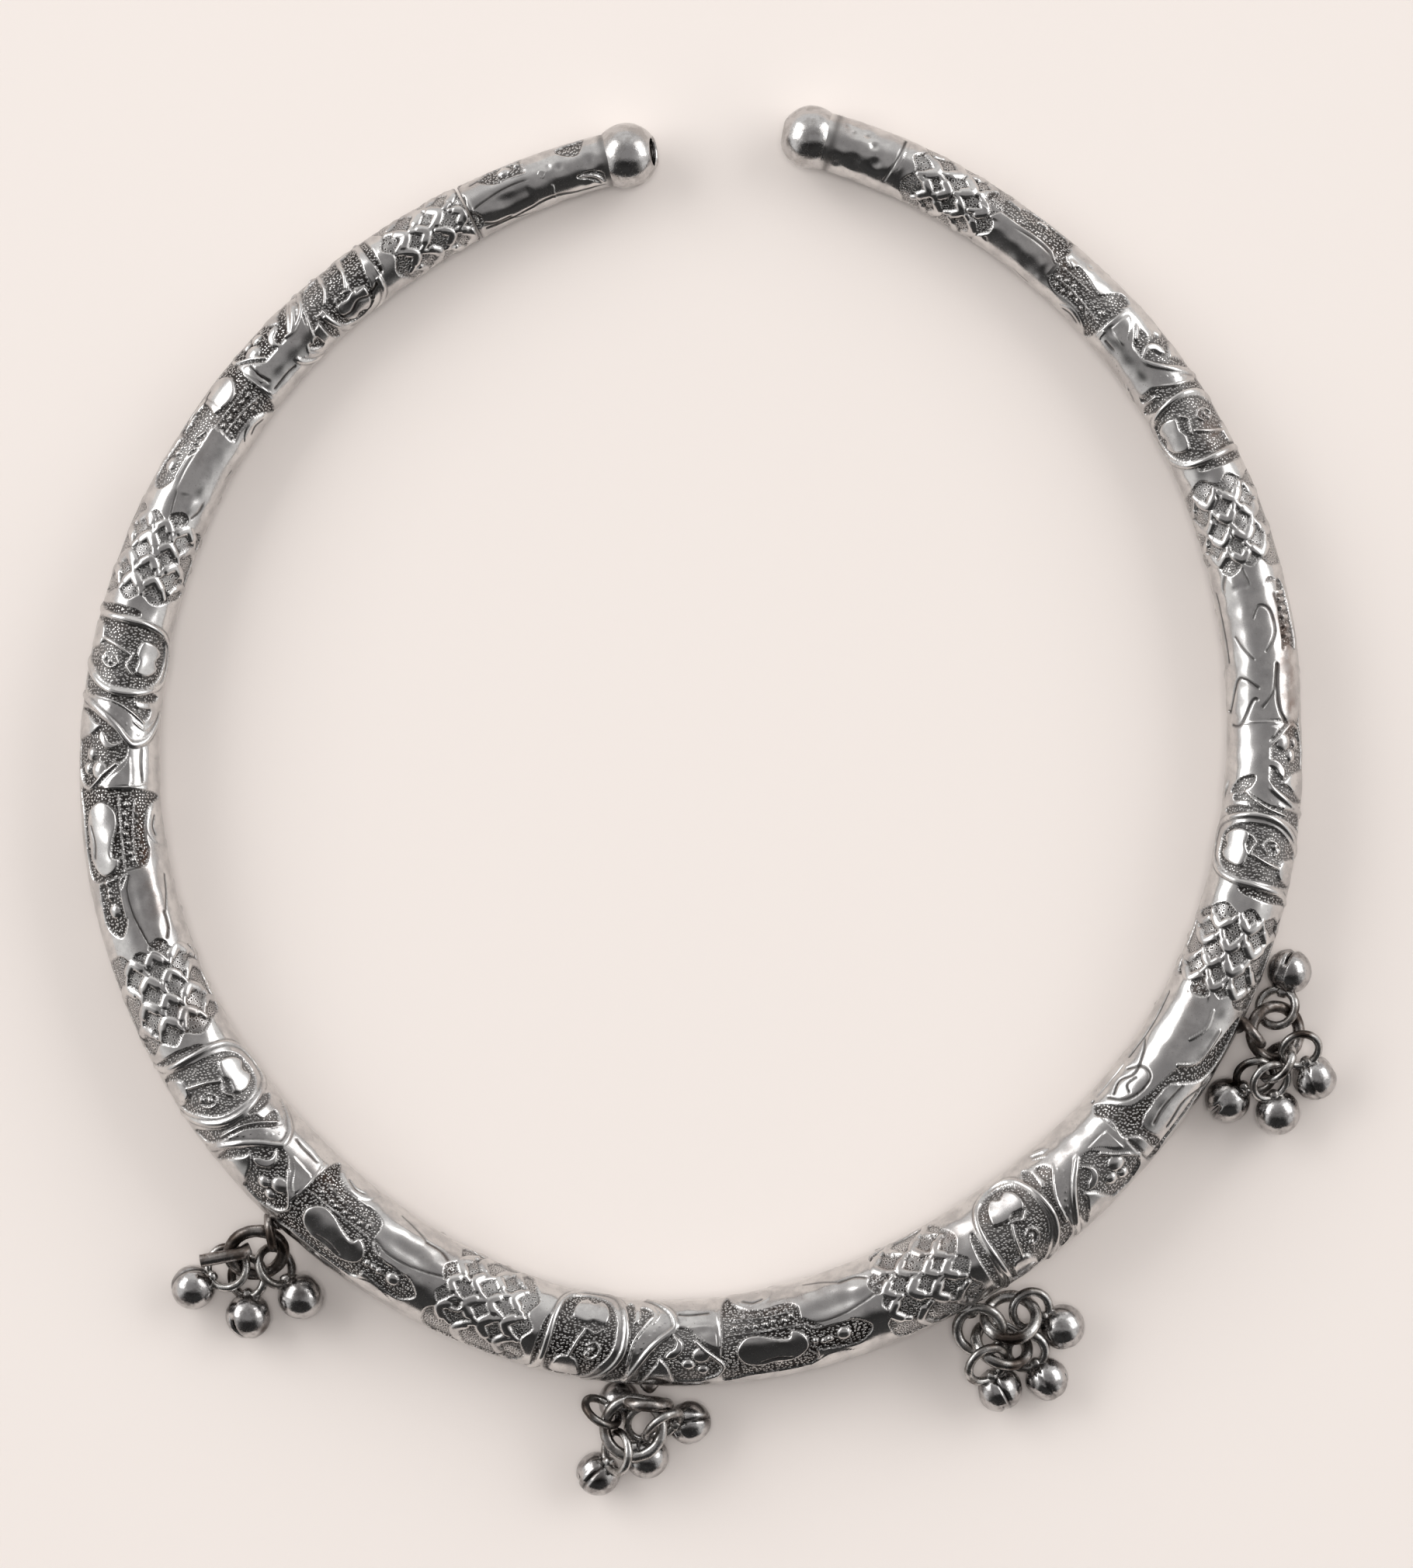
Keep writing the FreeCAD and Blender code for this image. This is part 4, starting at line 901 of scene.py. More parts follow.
def bent_wire(name, points, radius, metal, closed=True, waver=0.25, lumps=0.25, seed=0.0):
    """A wire along a line of points in mm, as a plain mesh."""
    curve = bpy.data.curves.new(name, "CURVE")
    curve.dimensions = "3D"
    spline = curve.splines.new("POLY")
    spline.points.add(len(points) - 1)
    spline.points.foreach_set("co", np.c_[np.asarray(points) * MM, np.ones(len(points))].ravel())
    spline.use_cyclic_u = closed
    holder = bpy.data.objects.new(name + "_line", curve)
    bpy.context.collection.objects.link(holder)
    bend = holder.modifiers.new("bend", "NODES")
    bend.node_group = WIRE
    wanted = {"Wire radius": radius * MM, "Waver": waver * MM, "Lumps": lumps, "Seed": seed, "Metal": metal}
    for label, value in wanted.items():
        bend[WIRE_INPUTS[label]] = value
    bpy.context.view_layer.update()
    shaped = holder.evaluated_get(bpy.context.evaluated_depsgraph_get())
    mesh = bpy.data.meshes.new_from_object(shaped)
    bpy.data.objects.remove(holder)
    bpy.data.curves.remove(curve)
    mesh.polygons.foreach_set("use_smooth", np.ones(len(mesh.polygons), bool))
    return mesh


print("wire tree inputs:", list(WIRE_INPUTS))

# %% [markdown]
# ## Where the links hang
# The construction has already laid every ring and bell where it hangs without touching its
# neighbours. A ring's solid gives its own middle and tilt: the middle is where its points balance,
# and the face is the direction in which they spread least. Both are then improved by a few rounds
# of least squares against the ring's known size, so a soldered tail doesn't pull them aside.

# %% Finding a ring or a bell in its solid


def solid_points(name):
    """The corner points of a solid, in mm."""
    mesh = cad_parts[name].data
    co = np.empty(len(mesh.vertices) * 3, np.float32)
    mesh.vertices.foreach_get("co", co)
    return np.unique(np.round(co.reshape(-1, 3) / MM, 4), axis=0).astype(float)


def off_ring(fit, points, radius, wire):
    """How far points lie from the surface of a ring with this middle and face."""
    face = fit[3:] / np.linalg.norm(fit[3:])
    arm = points - fit[:3]
    height = arm @ face
    flat = np.sqrt(np.maximum((arm ** 2).sum(1) - height ** 2, 1e-12))
    return np.sqrt((flat - radius) ** 2 + height ** 2) - wire


NUDGE = 1e-5


def find_ring(points, radius, wire, middle=None):
    """The middle and the face of a ring."""
    middle = points.mean(0) if middle is None else middle
    face = np.linalg.svd(points - points.mean(0), full_matrices=False)[2][2]
    fit = np.concatenate([middle, face])
    for _ in range(60):
        miss = off_ring(fit, points, radius, wire)
        nudged = [off_ring(fit + step, points, radius, wire) for step in np.eye(6) * NUDGE]
        slopes = (np.stack(nudged, 1) - miss[:, None]) / NUDGE
        trust = 1 / (1 + (miss / 0.08) ** 2)
        weighted = slopes * trust[:, None]
        fit = fit - np.linalg.solve(weighted.T @ slopes + 1e-6 * np.eye(6), weighted.T @ miss)
        fit[3:] /= np.linalg.norm(fit[3:])
    return fit[:3], fit[3:], float(np.median(np.abs(off_ring(fit, points, radius, wire))))


def find_ball(points, radius):
    """The middle of a ball of known radius among other points."""
    draws = np.random.default_rng(4)
    best, most = points.mean(0), 0
    for _ in range(900):
        four = points[draws.choice(len(points), 4, replace=False)]
        spans = 2 * (four[1:] - four[0])
        if abs(np.linalg.det(spans)) < 1.0:
            continue
        middle = np.linalg.solve(spans, (four[1:] ** 2).sum(1) - (four[0] ** 2).sum())
        if abs(np.linalg.norm(four[0] - middle) - radius) > 0.05:
            continue
        hits = (np.abs(np.linalg.norm(points - middle, axis=1) - radius) < 0.03).sum()
        if hits > most:
            best, most = middle, hits
    return best


RINGS = {
    # radius of the ring and of its wire
    "ring_1": (3.3, 0.78), "ring_2": (3.5, 0.72), "ring_3a": (3.1, 0.75),
    "ring_3b": (3.3, 0.72), "ring_4a": (3.2, 0.75), "ring_4b": (2.4, 0.55),
}
BELLS = {
    # loop radius, loop wire, bell radius, turn of the slit, dents as (turn round, tilt from the slit, depth)
    "bell_1a": (2.5, 0.52, 2.75, 70.0, [(150, 80, 0.20)]),
    "bell_1b": (2.4, 0.55, 2.80, 15.0, [(40, 100, 0.15)]),
    "bell_1c": (2.4, 0.55, 2.85, 120.0, [(300, 90, 0.20)]),
    "bell_2a": (2.5, 0.52, 2.70, 0.0, [(80, 70, 0.15)]),
    "bell_2b": (2.2, 0.52, 2.70, 90.0, [(200, 110, 0.15)]),
    "bell_2c": (2.5, 0.52, 2.70, 30.0, [(20, 60, 0.20)]),
    "bell_2d": (2.3, 0.52, 2.60, 45.0, []),
    "bell_3a": (2.5, 0.55, 2.80, 20.0, [(120, 95, 0.20)]),
    "bell_3b": (2.3, 0.60, 2.65, 100.0, [(60, 80, 0.15)]),
    "bell_3c": (2.3, 0.55, 2.80, 60.0, [(210, 80, 0.40), (120, 110, 0.15)]),
    "bell_4a": (2.3, 0.55, 2.75, 0.0, [(160, 90, 0.15)]),
    "bell_4b": (2.3, 0.50, 2.80, 35.0, [(250, 80, 0.15)]),
    "bell_4c": (2.3, 0.50, 2.75, 110.0, []),
    "bell_4d": (2.3, 0.50, 2.75, 75.0, [(90, 100, 0.20)]),
}
LOOP_SUNK = 0.35
found_rings = {name: find_ring(solid_points(name), *sizes) for name, sizes in RINGS.items()}
found_bells = {}
for name, (loop, wire, ball, slit_turn, dents) in BELLS.items():
    points = solid_points(name)
    middle = find_ball(points, ball)
    beyond = points[np.linalg.norm(points - middle, axis=1) > ball + 0.15]
    arm = beyond.mean(0) - middle
    arm /= np.linalg.norm(arm)
    loop_middle, face, miss = find_ring(beyond, loop, wire, middle + arm * (loop + ball - LOOP_SUNK))
    found_bells[name] = (middle, loop_middle, face, miss)
print("ring misses (mm):", {n: round(f[2], 3) for n, f in found_rings.items()})
print("loop misses (mm):", {n: round(f[3], 3) for n, f in found_bells.items()})

# %% [markdown]
# ## Struck silver
# The tube is silver sheet, struck with a die and then rubbed by years of wear. To the eye that gives
# three things: high metal that mirrors the room through a skin of fine scratches, punched grounds
# that look brown-black with bright specks, and a warm film where tarnish has begun. The punching is
# far finer than a mesh can carry, so it is a pattern on the flat sheet's own millimetres, and the
# layers of the mesh say where each pattern goes.

# %% The struck silver of the tube


def silver_surface(tree, colour, roughness, height, depth):
    """The metal and its fine relief; depth is the height of a full step in metres."""
    relief = node(tree, "ShaderNodeBump", {"Strength": 1.0, "Distance": depth, "Height": height})
    metal = node(tree, "ShaderNodeBsdfPrincipled", {"Base Color": colour, "Metallic": 1.0,
                 "Roughness": roughness, "Normal": relief})
    node(tree, "ShaderNodeOutputMaterial", {"Surface": metal})


def struck_silver():
    """Die-struck silver sheet with punched, oxidised grounds and a rubbed, scratched top."""
    material, tree = new_material("struck_silver_dark_grounds")
    flat = node(tree, "ShaderNodeUVMap", uv_map="sheet")
    solid = node(tree, "ShaderNodeTexCoord").outputs["Object"]
    oxide, grain, rings, tarnish = (
        node(tree, "ShaderNodeAttribute", attribute_name=layer, attribute_type="GEOMETRY").outputs["Fac"]
        for layer in ("oxide", "grain", "rings", "tarnish"))

    # Grain: raised dots, 2.6 to a millimetre. The real ones are finer still, and too fine to show from
    # here, so they are drawn as coarse as they need to be.
    cells = node(tree, "ShaderNodeTexVoronoi", {"Vector": flat, "Scale": 2.6, "Randomness": 0.8},
                 voronoi_dimensions="2D")
    dot = node(tree, "ShaderNodeMapRange", {0: cells, 1: 0.40, 2: 0.17}, interpolation_type="SMOOTHSTEP")
    dotted = node(tree, "ShaderNodeMath", {0: dot, 1: grain}, operation="MULTIPLY")

    # Rings: marks of a hollow punch, 1.75 to a millimetre, dark in the middle with a bright rim, drawn
    # coarse for the same reason.
    marks = node(tree, "ShaderNodeTexVoronoi", {"Vector": flat, "Scale": 1.75, "Randomness": 0.75},
                 voronoi_dimensions="2D")
    hole = node(tree, "ShaderNodeMapRange", {0: marks, 1: 0.26, 2: 0.18}, interpolation_type="SMOOTHSTEP")
    disc = node(tree, "ShaderNodeMapRange", {0: marks, 1: 0.48, 2: 0.38}, interpolation_type="SMOOTHSTEP")
    rim = node(tree, "ShaderNodeMath", {0: disc, 1: hole}, operation="SUBTRACT")
    ringed = node(tree, "ShaderNodeMath", {0: rim, 1: rings}, operation="MULTIPLY")
    marks_up = node(tree, "ShaderNodeMath", {0: dotted, 1: ringed}, operation="ADD", use_clamp=True)

    # Wear: scratches that run slightly aslant along the tube, pits a quarter of a millimetre apart,
    # rubbed patches about 2 mm across, and broad ones about 13 mm across.
    streaks = node(tree, "ShaderNodeMapping", {"Vector": flat, "Rotation": (0.0, 0.0, 0.35),
                   "Scale": (0.35, 5.0, 1.0)})
    scratches = node(tree, "ShaderNodeTexNoise", {"Vector": streaks, "Scale": 1.6, "Detail": 4.0,
                     "Roughness": 0.7}, noise_dimensions="2D")
    pits = node(tree, "ShaderNodeTexNoise", {"Vector": solid, "Scale": 3.8 * PER_MM, "Detail": 3.0,
                "Roughness": 0.65})
    rubbed = node(tree, "ShaderNodeTexNoise", {"Vector": solid, "Scale": 0.42 * PER_MM, "Detail": 4.0,
                  "Roughness": 0.6})
    broad = node(tree, "ShaderNodeTexNoise", {"Vector": solid, "Scale": 0.075 * PER_MM, "Detail": 2.0})

    # Bare metal: two close greys, with dull pits.
    grey = node(tree, "ShaderNodeMapRange", {0: rubbed, 1: 0.35, 2: 0.65}, interpolation_type="SMOOTHSTEP")
    clean = node(tree, "ShaderNodeMix", {0: grey, 6: paint("#d6d4d2"), 7: paint("#bdbbba")}, data_type="RGBA")
    dull = node(tree, "ShaderNodeMapRange", {0: pits, 1: 0.60, 2: 0.74, 4: 0.55},
                interpolation_type="SMOOTHSTEP")
    bare = node(tree, "ShaderNodeMix", {0: dull, 6: clean.outputs[2], 7: paint("#6e6864")}, data_type="RGBA")

    # Dirt: oxide in the hollows and between the punch marks, thinner on the marks' own tops.
    ring_ground = node(tree, "ShaderNodeMath", {0: rings, 1: 0.60}, operation="MULTIPLY")
    ground = node(tree, "ShaderNodeMath", {0: grain, 1: ring_ground}, operation="MAXIMUM")
    between = node(tree, "ShaderNodeMath", {0: 1.0, 1: marks_up}, operation="SUBTRACT")
    low = node(tree, "ShaderNodeMath", {0: ground, 1: between}, operation="MULTIPLY")
    holes = node(tree, "ShaderNodeMath", {0: hole, 1: rings}, operation="MULTIPLY")
    lowest = node(tree, "ShaderNodeMath", {0: low, 1: holes}, operation="MAXIMUM")
    filled = node(tree, "ShaderNodeMath", {0: lowest, 1: 0.98}, operation="MULTIPLY")
    all_dirt = node(tree, "ShaderNodeMath", {0: oxide, 1: filled}, operation="MAXIMUM")
    wiped = node(tree, "ShaderNodeMath", {0: marks_up, 1: 0.58}, operation="MULTIPLY")
    dirt = node(tree, "ShaderNodeMath", {0: all_dirt, 1: wiped}, operation="SUBTRACT", use_clamp=True)
    uneven = node(tree, "ShaderNodeMapRange", {0: broad, 1: 0.35, 2: 0.65, 3: 0.75, 4: 1.0},
                  interpolation_type="SMOOTHSTEP")
    dirt_shown = node(tree, "ShaderNodeMath", {0: dirt, 1: uneven}, operation="MULTIPLY")
    dirty = node(tree, "ShaderNodeMix", {0: dirt_shown, 6: bare.outputs[2], 7: paint("#2d2927")},
                 data_type="RGBA")

    # Film: brown tarnish in broken patches.
    broken = node(tree, "ShaderNodeMapRange", {0: rubbed, 1: 0.35, 2: 0.60, 3: 0.45, 4: 1.0},
                  interpolation_type="SMOOTHSTEP")
    film = node(tree, "ShaderNodeMath", {0: tarnish, 1: broken}, operation="MULTIPLY")
    film_shown = node(tree, "ShaderNodeMath", {0: film, 1: 0.75}, operation="MULTIPLY")
    colour = node(tree, "ShaderNodeMix", {0: film_shown, 6: dirty.outputs[2], 7: paint("#6b4a33")},
                  data_type="RGBA")

    # Polish: patches of it, then rougher in pits, in dirt and under film.
    polish = node(tree, "ShaderNodeMapRange", {0: rubbed, 1: 0.38, 2: 0.66, 3: 0.13, 4: 0.24},
                  interpolation_type="SMOOTHSTEP")
    pitted = node(tree, "ShaderNodeMapRange", {0: pits, 1: 0.55, 2: 0.75}, interpolation_type="SMOOTHSTEP")
    rough = node(tree, "ShaderNodeMath", {0: pitted, 1: 0.14, 2: polish}, operation="MULTIPLY_ADD")
    rough = node(tree, "ShaderNodeMath", {0: dirt, 1: 0.28, 2: rough}, operation="MULTIPLY_ADD")
    rough = node(tree, "ShaderNodeMath", {0: film, 1: 0.15, 2: rough}, operation="MULTIPLY_ADD")

    # Relief: the punch marks, 0.06 mm high, then the scratches and pits.
    height = node(tree, "ShaderNodeMath", {0: ringed, 1: 0.2, 2: marks_up}, operation="MULTIPLY_ADD")
    height = node(tree, "ShaderNodeMath", {0: scratches, 1: 0.035, 2: height}, operation="MULTIPLY_ADD")
    height = node(tree, "ShaderNodeMath", {0: pits, 1: 0.035, 2: height}, operation="MULTIPLY_ADD")
    silver_surface(tree, colour.outputs[2], rough, height, 0.06 * MM)
    return material


STRUCK = struck_silver()
print(STRUCK.name, len(STRUCK.node_tree.nodes), "nodes")

# %% [markdown]
# ## Plain silver
# Wire was drawn through a plate and the bells and balls were raised from thin sheet, so none of them
# has a struck pattern. All show the same few things in different amounts: clean metal, a grey or
# brown film in patches, pits, and how smooth the metal between them is. So one material is built four
# times: worn wire with a soft streak of light, wire under a brown film that looks darker and duller,
# bells polished by rubbing that give small sharp reflections, and the balls, the smoothest of all.

# %% Wire, bells and balls


def plain_silver(name, clean, film, film_amount, polish, pit_amount):
    """Unstruck silver: clean metal, a brown or grey film in patches, and small pits."""
    material, tree = new_material(name)
    solid = node(tree, "ShaderNodeTexCoord").outputs["Object"]
    # pits a quarter of a millimetre apart, rubbed patches of 1.5 mm and broad ones of 5 mm
    pits = node(tree, "ShaderNodeTexNoise", {"Vector": solid, "Scale": 4.2 * PER_MM, "Detail": 3.0,
                "Roughness": 0.65})
    rubbed = node(tree, "ShaderNodeTexNoise", {"Vector": solid, "Scale": 0.65 * PER_MM, "Detail": 4.0,
                  "Roughness": 0.62})
    broad = node(tree, "ShaderNodeTexNoise", {"Vector": solid, "Scale": 0.19 * PER_MM, "Detail": 2.0})
    crevice = node(tree, "ShaderNodeAttribute", attribute_name="crevice", attribute_type="GEOMETRY")

    worn = node(tree, "ShaderNodeMapRange", {0: rubbed, 1: 0.42, 2: 0.62}, interpolation_type="SMOOTHSTEP")
    metal = node(tree, "ShaderNodeMix", {0: worn, 6: paint(clean), 7: paint(film)}, data_type="RGBA")
    grooved = node(tree, "ShaderNodeMix", {0: crevice.outputs["Fac"], 6: metal.outputs[2],
                   7: paint("#1d1a19")}, data_type="RGBA")
    reach = 0.25 * film_amount
    patches = node(tree, "ShaderNodeMapRange", {0: broad, 1: 0.62 - reach, 2: 0.80 - reach},
                   interpolation_type="SMOOTHSTEP")
    filmed = node(tree, "ShaderNodeMix", {0: patches, 6: grooved.outputs[2], 7: paint("#463e39")},
                  data_type="RGBA")
    dull = node(tree, "ShaderNodeMapRange", {0: pits, 1: 0.58, 2: 0.72, 4: pit_amount},
                interpolation_type="SMOOTHSTEP")
    colour = node(tree, "ShaderNodeMix", {0: dull, 6: filmed.outputs[2], 7: paint("#4d4743")},
                  data_type="RGBA")

    smooth = node(tree, "ShaderNodeMapRange", {0: rubbed, 1: 0.42, 2: 0.66, 3: polish, 4: polish + 0.17},
                  interpolation_type="SMOOTHSTEP")
    pitted = node(tree, "ShaderNodeMapRange", {0: pits, 1: 0.52, 2: 0.72}, interpolation_type="SMOOTHSTEP")
    rough = node(tree, "ShaderNodeMath", {0: pitted, 1: 0.22, 2: smooth}, operation="MULTIPLY_ADD")
    waves = node(tree, "ShaderNodeMath", {0: rubbed, 1: 0.8}, operation="MULTIPLY")
    height = node(tree, "ShaderNodeMath", {0: pits, 1: 0.5, 2: waves}, operation="MULTIPLY_ADD")
    silver_surface(tree, colour.outputs[2], rough, height, 0.03 * MM)
    return material


WIRE_SILVER = plain_silver("silver_wire_worn", "#c2c0be", "#8b8783", 0.45, 0.19, 0.6)
BROWN_WIRE = plain_silver("silver_wire_brown_film", "#a19c99", "#6a615b", 0.7, 0.24, 0.7)
BELL_SILVER = plain_silver("bell_silver_polished", "#bfbdbc", "#949190", 0.25, 0.09, 0.6)
BALL_SILVER = plain_silver("ball_silver_worn", "#c9c7c6", "#b0adab", 0.05, 0.07, 0.20)
print("plain metals:", [m.name for m in (WIRE_SILVER, BROWN_WIRE, BELL_SILVER, BALL_SILVER)])

# %% [markdown]
# ## Rings, eyes and loops
# Each hangs where its solid does. The first ring has a short rod soldered over it, whose inner end
# curls down. The second is a wire wound a little more than once, so two strands lie side by side at
# the bottom. The eyes stand on the tube's outer side with a lump of solder at the foot.

# %% Bending every ring
EYES = {
    # middle, lean of the face from outward, tilt from upright, radius and wire
    "eye_1": ((-52.2, -60.1, 5.9), 139, 90, 1.9, 0.60),
    "eye_2": ((-6.2, -81.1, 5.9), 0, 90, 2.5, 0.80),
    "eye_3": ((34.5, -72.1, 5.7), 300, 15, 2.8, 0.65),
    "eye_4": ((67.7, -35.6, 5.4), 67, 90, 1.9, 0.60),
}
# The rod on the first ring: its ends, across and up from the ring's middle, and its radius.
ROD_START, ROD_END, ROD_RADIUS = (-0.8, 1.2), (-6.9, 0.2), 0.80


def crossways(face, toward):
    """Two directions at right angles to a face, the first as near as can be to a wanted one."""
    first = np.asarray(toward, float) - np.dot(toward, face) * face
    first /= np.linalg.norm(first)
    return first, np.cross(face, first)


def circle(middle, face, radius, toward=(0.0, 0.0, 1.0), start=0.0, end=360.0, steps=64):
    """Points of a ring, or of a part of it, that starts from a wanted direction."""
    across, beside = crossways(np.asarray(face, float), toward)
    angles = np.radians(np.linspace(start, end, steps, endpoint=end - start < 360))
    return middle + (radius * np.cos(angles))[:, None] * across + (radius * np.sin(angles))[:, None] * beside


def as_object(name, mesh):
    """A mesh, lamp or camera as an object of the scene."""
    made = bpy.data.objects.new(name, mesh)
    bpy.context.collection.objects.link(made)
    return made


def blob(middle, size, seed):
    """A lump of solder: a small rounded ball, uneven."""
    lump = bmesh.new()
    bmesh.ops.create_icosphere(lump, subdivisions=3, radius=1.0)
    for point in lump.verts:
        reach = 1 + 0.18 * float(smooth_noise(np.array(point.co), seed, 1.3))
        point.co = Vector(np.array(middle) * MM) + Vector(np.array(point.co) * np.array(size) * reach * MM)
    mesh = bpy.data.meshes.new("lump")
    lump.to_mesh(mesh)
    lump.free()
    mesh.polygons.foreach_set("use_smooth", np.ones(len(mesh.polygons), bool))
    return mesh


def gathered(name, meshes, metal):
    """Several meshes as one object with one metal."""
    parts = bmesh.new()
    for mesh in meshes:
        parts.from_mesh(mesh)
    whole = bpy.data.meshes.new(name)
    parts.to_mesh(whole)
    parts.free()
    whole.materials.clear()
    whole.materials.append(metal)
    whole.polygons.foreach_set("material_index", np.zeros(len(whole.polygons), np.int32))
    whole.polygons.foreach_set("use_smooth", np.ones(len(whole.polygons), bool))
    return as_object(name, whole)


links = {}
for number, (name, (middle, face, _)) in enumerate(found_rings.items()):
    radius, wire = RINGS[name]
    metal = BROWN_WIRE if name in ("ring_4a", "ring_1") else WIRE_SILVER
    hoop = circle(middle, face, radius)
    strands = [bent_wire(name, hoop, wire, metal, waver=0.10, lumps=0.22, seed=number)]
    if face[2] < 0:
        face = -face
    if name == "ring_1":
        east, north = crossways(face, (1.0, 0.0, 0.0))
        start, end = (middle + right * east + up * north for right, up in (ROD_START, ROD_END))
        along = np.linspace(0, 1, 24)[:, None]
        rod = start + (end - start) * along + face * (1.36 - 0.7 * np.exp(-(along / 0.12) ** 2))
        strands.append(bent_wire("rod", rod, ROD_RADIUS, metal, closed=False, waver=0.05, lumps=0.10,
                                 seed=30.0))
    if name == "ring_2":
        second = circle(middle, face, 2.4, (0.0, 1.0, 0.0), 160, 192, 16)
        strands.append(bent_wire("strand", second, wire, metal, closed=False, waver=0.04, lumps=0.10,
                                 seed=31.0))
    links[name] = gathered(name + "_wire", strands, metal)

eyes = []
for number, (name, (middle, lean, tilt, radius, wire)) in enumerate(EYES.items()):
    lean, tilt = math.radians(lean), math.radians(tilt)
    place = np.array(middle)
    outward = place * (1, 1, 0) / np.linalg.norm(place[:2])
    turned_out = np.array([outward[0] * math.cos(lean) - outward[1] * math.sin(lean),
                           outward[0] * math.sin(lean) + outward[1] * math.cos(lean), 0.0])
    face = turned_out * math.sin(tilt) + UP * math.cos(tilt)
    ring = bent_wire(name, circle(place, face, radius), wire, BROWN_WIRE, waver=0.10, lumps=0.25,
                     seed=40.0 + number)
    foot = place - outward * (radius + 0.2)
    lump = blob(foot, (1.3, 1.3, 1.0), 50 + number)
    eyes.append(gathered(name, [ring, lump], BROWN_WIRE if number != 2 else WIRE_SILVER))
print("rings:", {n: 2 * len(o.data.polygons) for n, o in links.items()})
print("eyes:", [2 * len(o.data.polygons) for o in eyes])

# %% [markdown]
# ## Bells
# A bell is two cups of thin sheet soldered together and then slit with a saw from below. The ball is
# laid out with its poles at the two sides of the slit, so the rows of faces run along the slit and
# its lips can roll inwards without any stray faces. The wall is doubled for thickness.

# %% Slit bells
BELL_WALL = 0.45
SLIT_HALF = 0.21
SLIT_END = 81
SLIT_STEPS = 32
SEAMS = {
    # where the two cups meet in a pressed groove: lean from the top, depth
    "bell_2a": (12, 0.24), "bell_2c": (-14, 0.34), "bell_3a": (-8, 0.28), "bell_3b": (10, 0.12),
    "bell_1a": (55, 0.18), "bell_4d": (20, 0.14), "bell_4a": (-60, 0.14),
}


def seam_side(name, down):
    """The direction across the groove between the two cups."""
    upward, beside = crossways(down, (0.0, 0.0, 1.0))
    lean = math.radians(SEAMS[name][0])
    return -math.sin(lean) * upward + math.cos(lean) * beside


def slit_faces(rows, columns):
    """The faces of a hollow ball: outer skin, inner skin, then the wall of the slit between them."""
    half, count = rows // 2, rows * columns
    faces = []
    for i in range(rows - 1):
        for j in range(SLIT_STEPS if i == half - 1 else 0, columns):
            k = (j + 1) % columns
            faces.append((i * columns + j, i * columns + k, (i + 1) * columns + k, (i + 1) * columns + j))
    faces += [tuple(count + v for v in reversed(face)) for face in faces]
    lips = [(row * columns + j, row * columns + j + 1) for j in range(SLIT_STEPS) for row in (half - 1, half)]
    ends = [((half - 1) * columns + j, half * columns + j) for j in (0, SLIT_STEPS)]
    return faces + [(a, b, count + b, count + a) for a, b in lips + ends]


def slit_bell(name, middle, arm, loop_face, ball, slit_turn, dents, seed):
    """A hollow ball with a rolled slit, away from its loop."""
    down = -arm
    across, beside = crossways(down, loop_face)
    turn = math.radians(slit_turn)
    along_slit = math.cos(turn) * across + math.sin(turn) * beside
    pole = np.cross(down, along_slit)
    edge = math.degrees(math.asin(SLIT_HALF / ball))
    upper = np.concatenate([np.linspace(edge, edge + 14, 6), np.linspace(edge + 18, 87, 15)])
    lat = np.radians(np.concatenate([-upper[::-1], upper]))
    lon = np.radians(np.concatenate([np.linspace(-SLIT_END, SLIT_END, SLIT_STEPS + 1),
                                     np.linspace(SLIT_END, 360 - SLIT_END, 31)[1:-1]]))
    lats, lons = np.meshgrid(lat, lon, indexing="ij")
    heading = (np.sin(lats)[..., None] * pole + (np.cos(lats) * np.cos(lons))[..., None] * down
               + (np.cos(lats) * np.sin(lons))[..., None] * along_slit)
    reach = np.full(lats.shape, float(ball))
    reach *= (1 + 0.010 * smooth_noise(heading * 3, seed, 2.2)
              + 0.005 * smooth_noise(heading * 3, seed + 1, 0.9))
    for around, tilt, depth in dents:
        a, b = math.radians(around), math.radians(tilt)
        spot = math.cos(b) * down + math.sin(b) * (math.cos(a) * across + math.sin(a) * beside)
        reach -= 1.3 * depth * np.exp(-((1 - heading @ spot) / 0.10) ** 2)
    from_edge = (np.abs(lats) - math.radians(edge)) * ball
    fade = ease((math.radians(88) - np.abs((lons + math.pi) % (2 * math.pi) - math.pi)) / 0.15)
    groove = np.exp(-(from_edge / 0.22) ** 2) * (0.25 + 0.75 * fade)
    reach -= 0.20 * groove
    if name in SEAMS:
        upper_half = ease(heading[..., 2] / 0.3 + 0.5)
        reach -= SEAMS[name][1] * upper_half * np.exp(-(heading @ seam_side(name, down) * ball / 0.24) ** 2)
    outer = middle + heading * reach[..., None]
    inner = middle + heading * (reach - BELL_WALL * (1 - 0.3 * groove))[..., None]
    rows, columns = lats.shape
    count = rows * columns
    body = bmesh.new()
    made = [body.verts.new(p * MM) for p in np.concatenate([outer.reshape(-1, 3), inner.reshape(-1, 3)])]
    for face in slit_faces(rows, columns):
        body.faces.new([made[v] for v in face])
    for base in (0, count):
        for row in (0, rows - 1):
            body.faces.new([made[base + row * columns + j] for j in range(columns)])
    bmesh.ops.recalc_face_normals(body, faces=body.faces)
    bmesh.ops.triangulate(body, faces=[f for f in body.faces if len(f.verts) > 4])
    mesh = bpy.data.meshes.new(name)
    body.to_mesh(mesh)
    body.free()
    return mesh


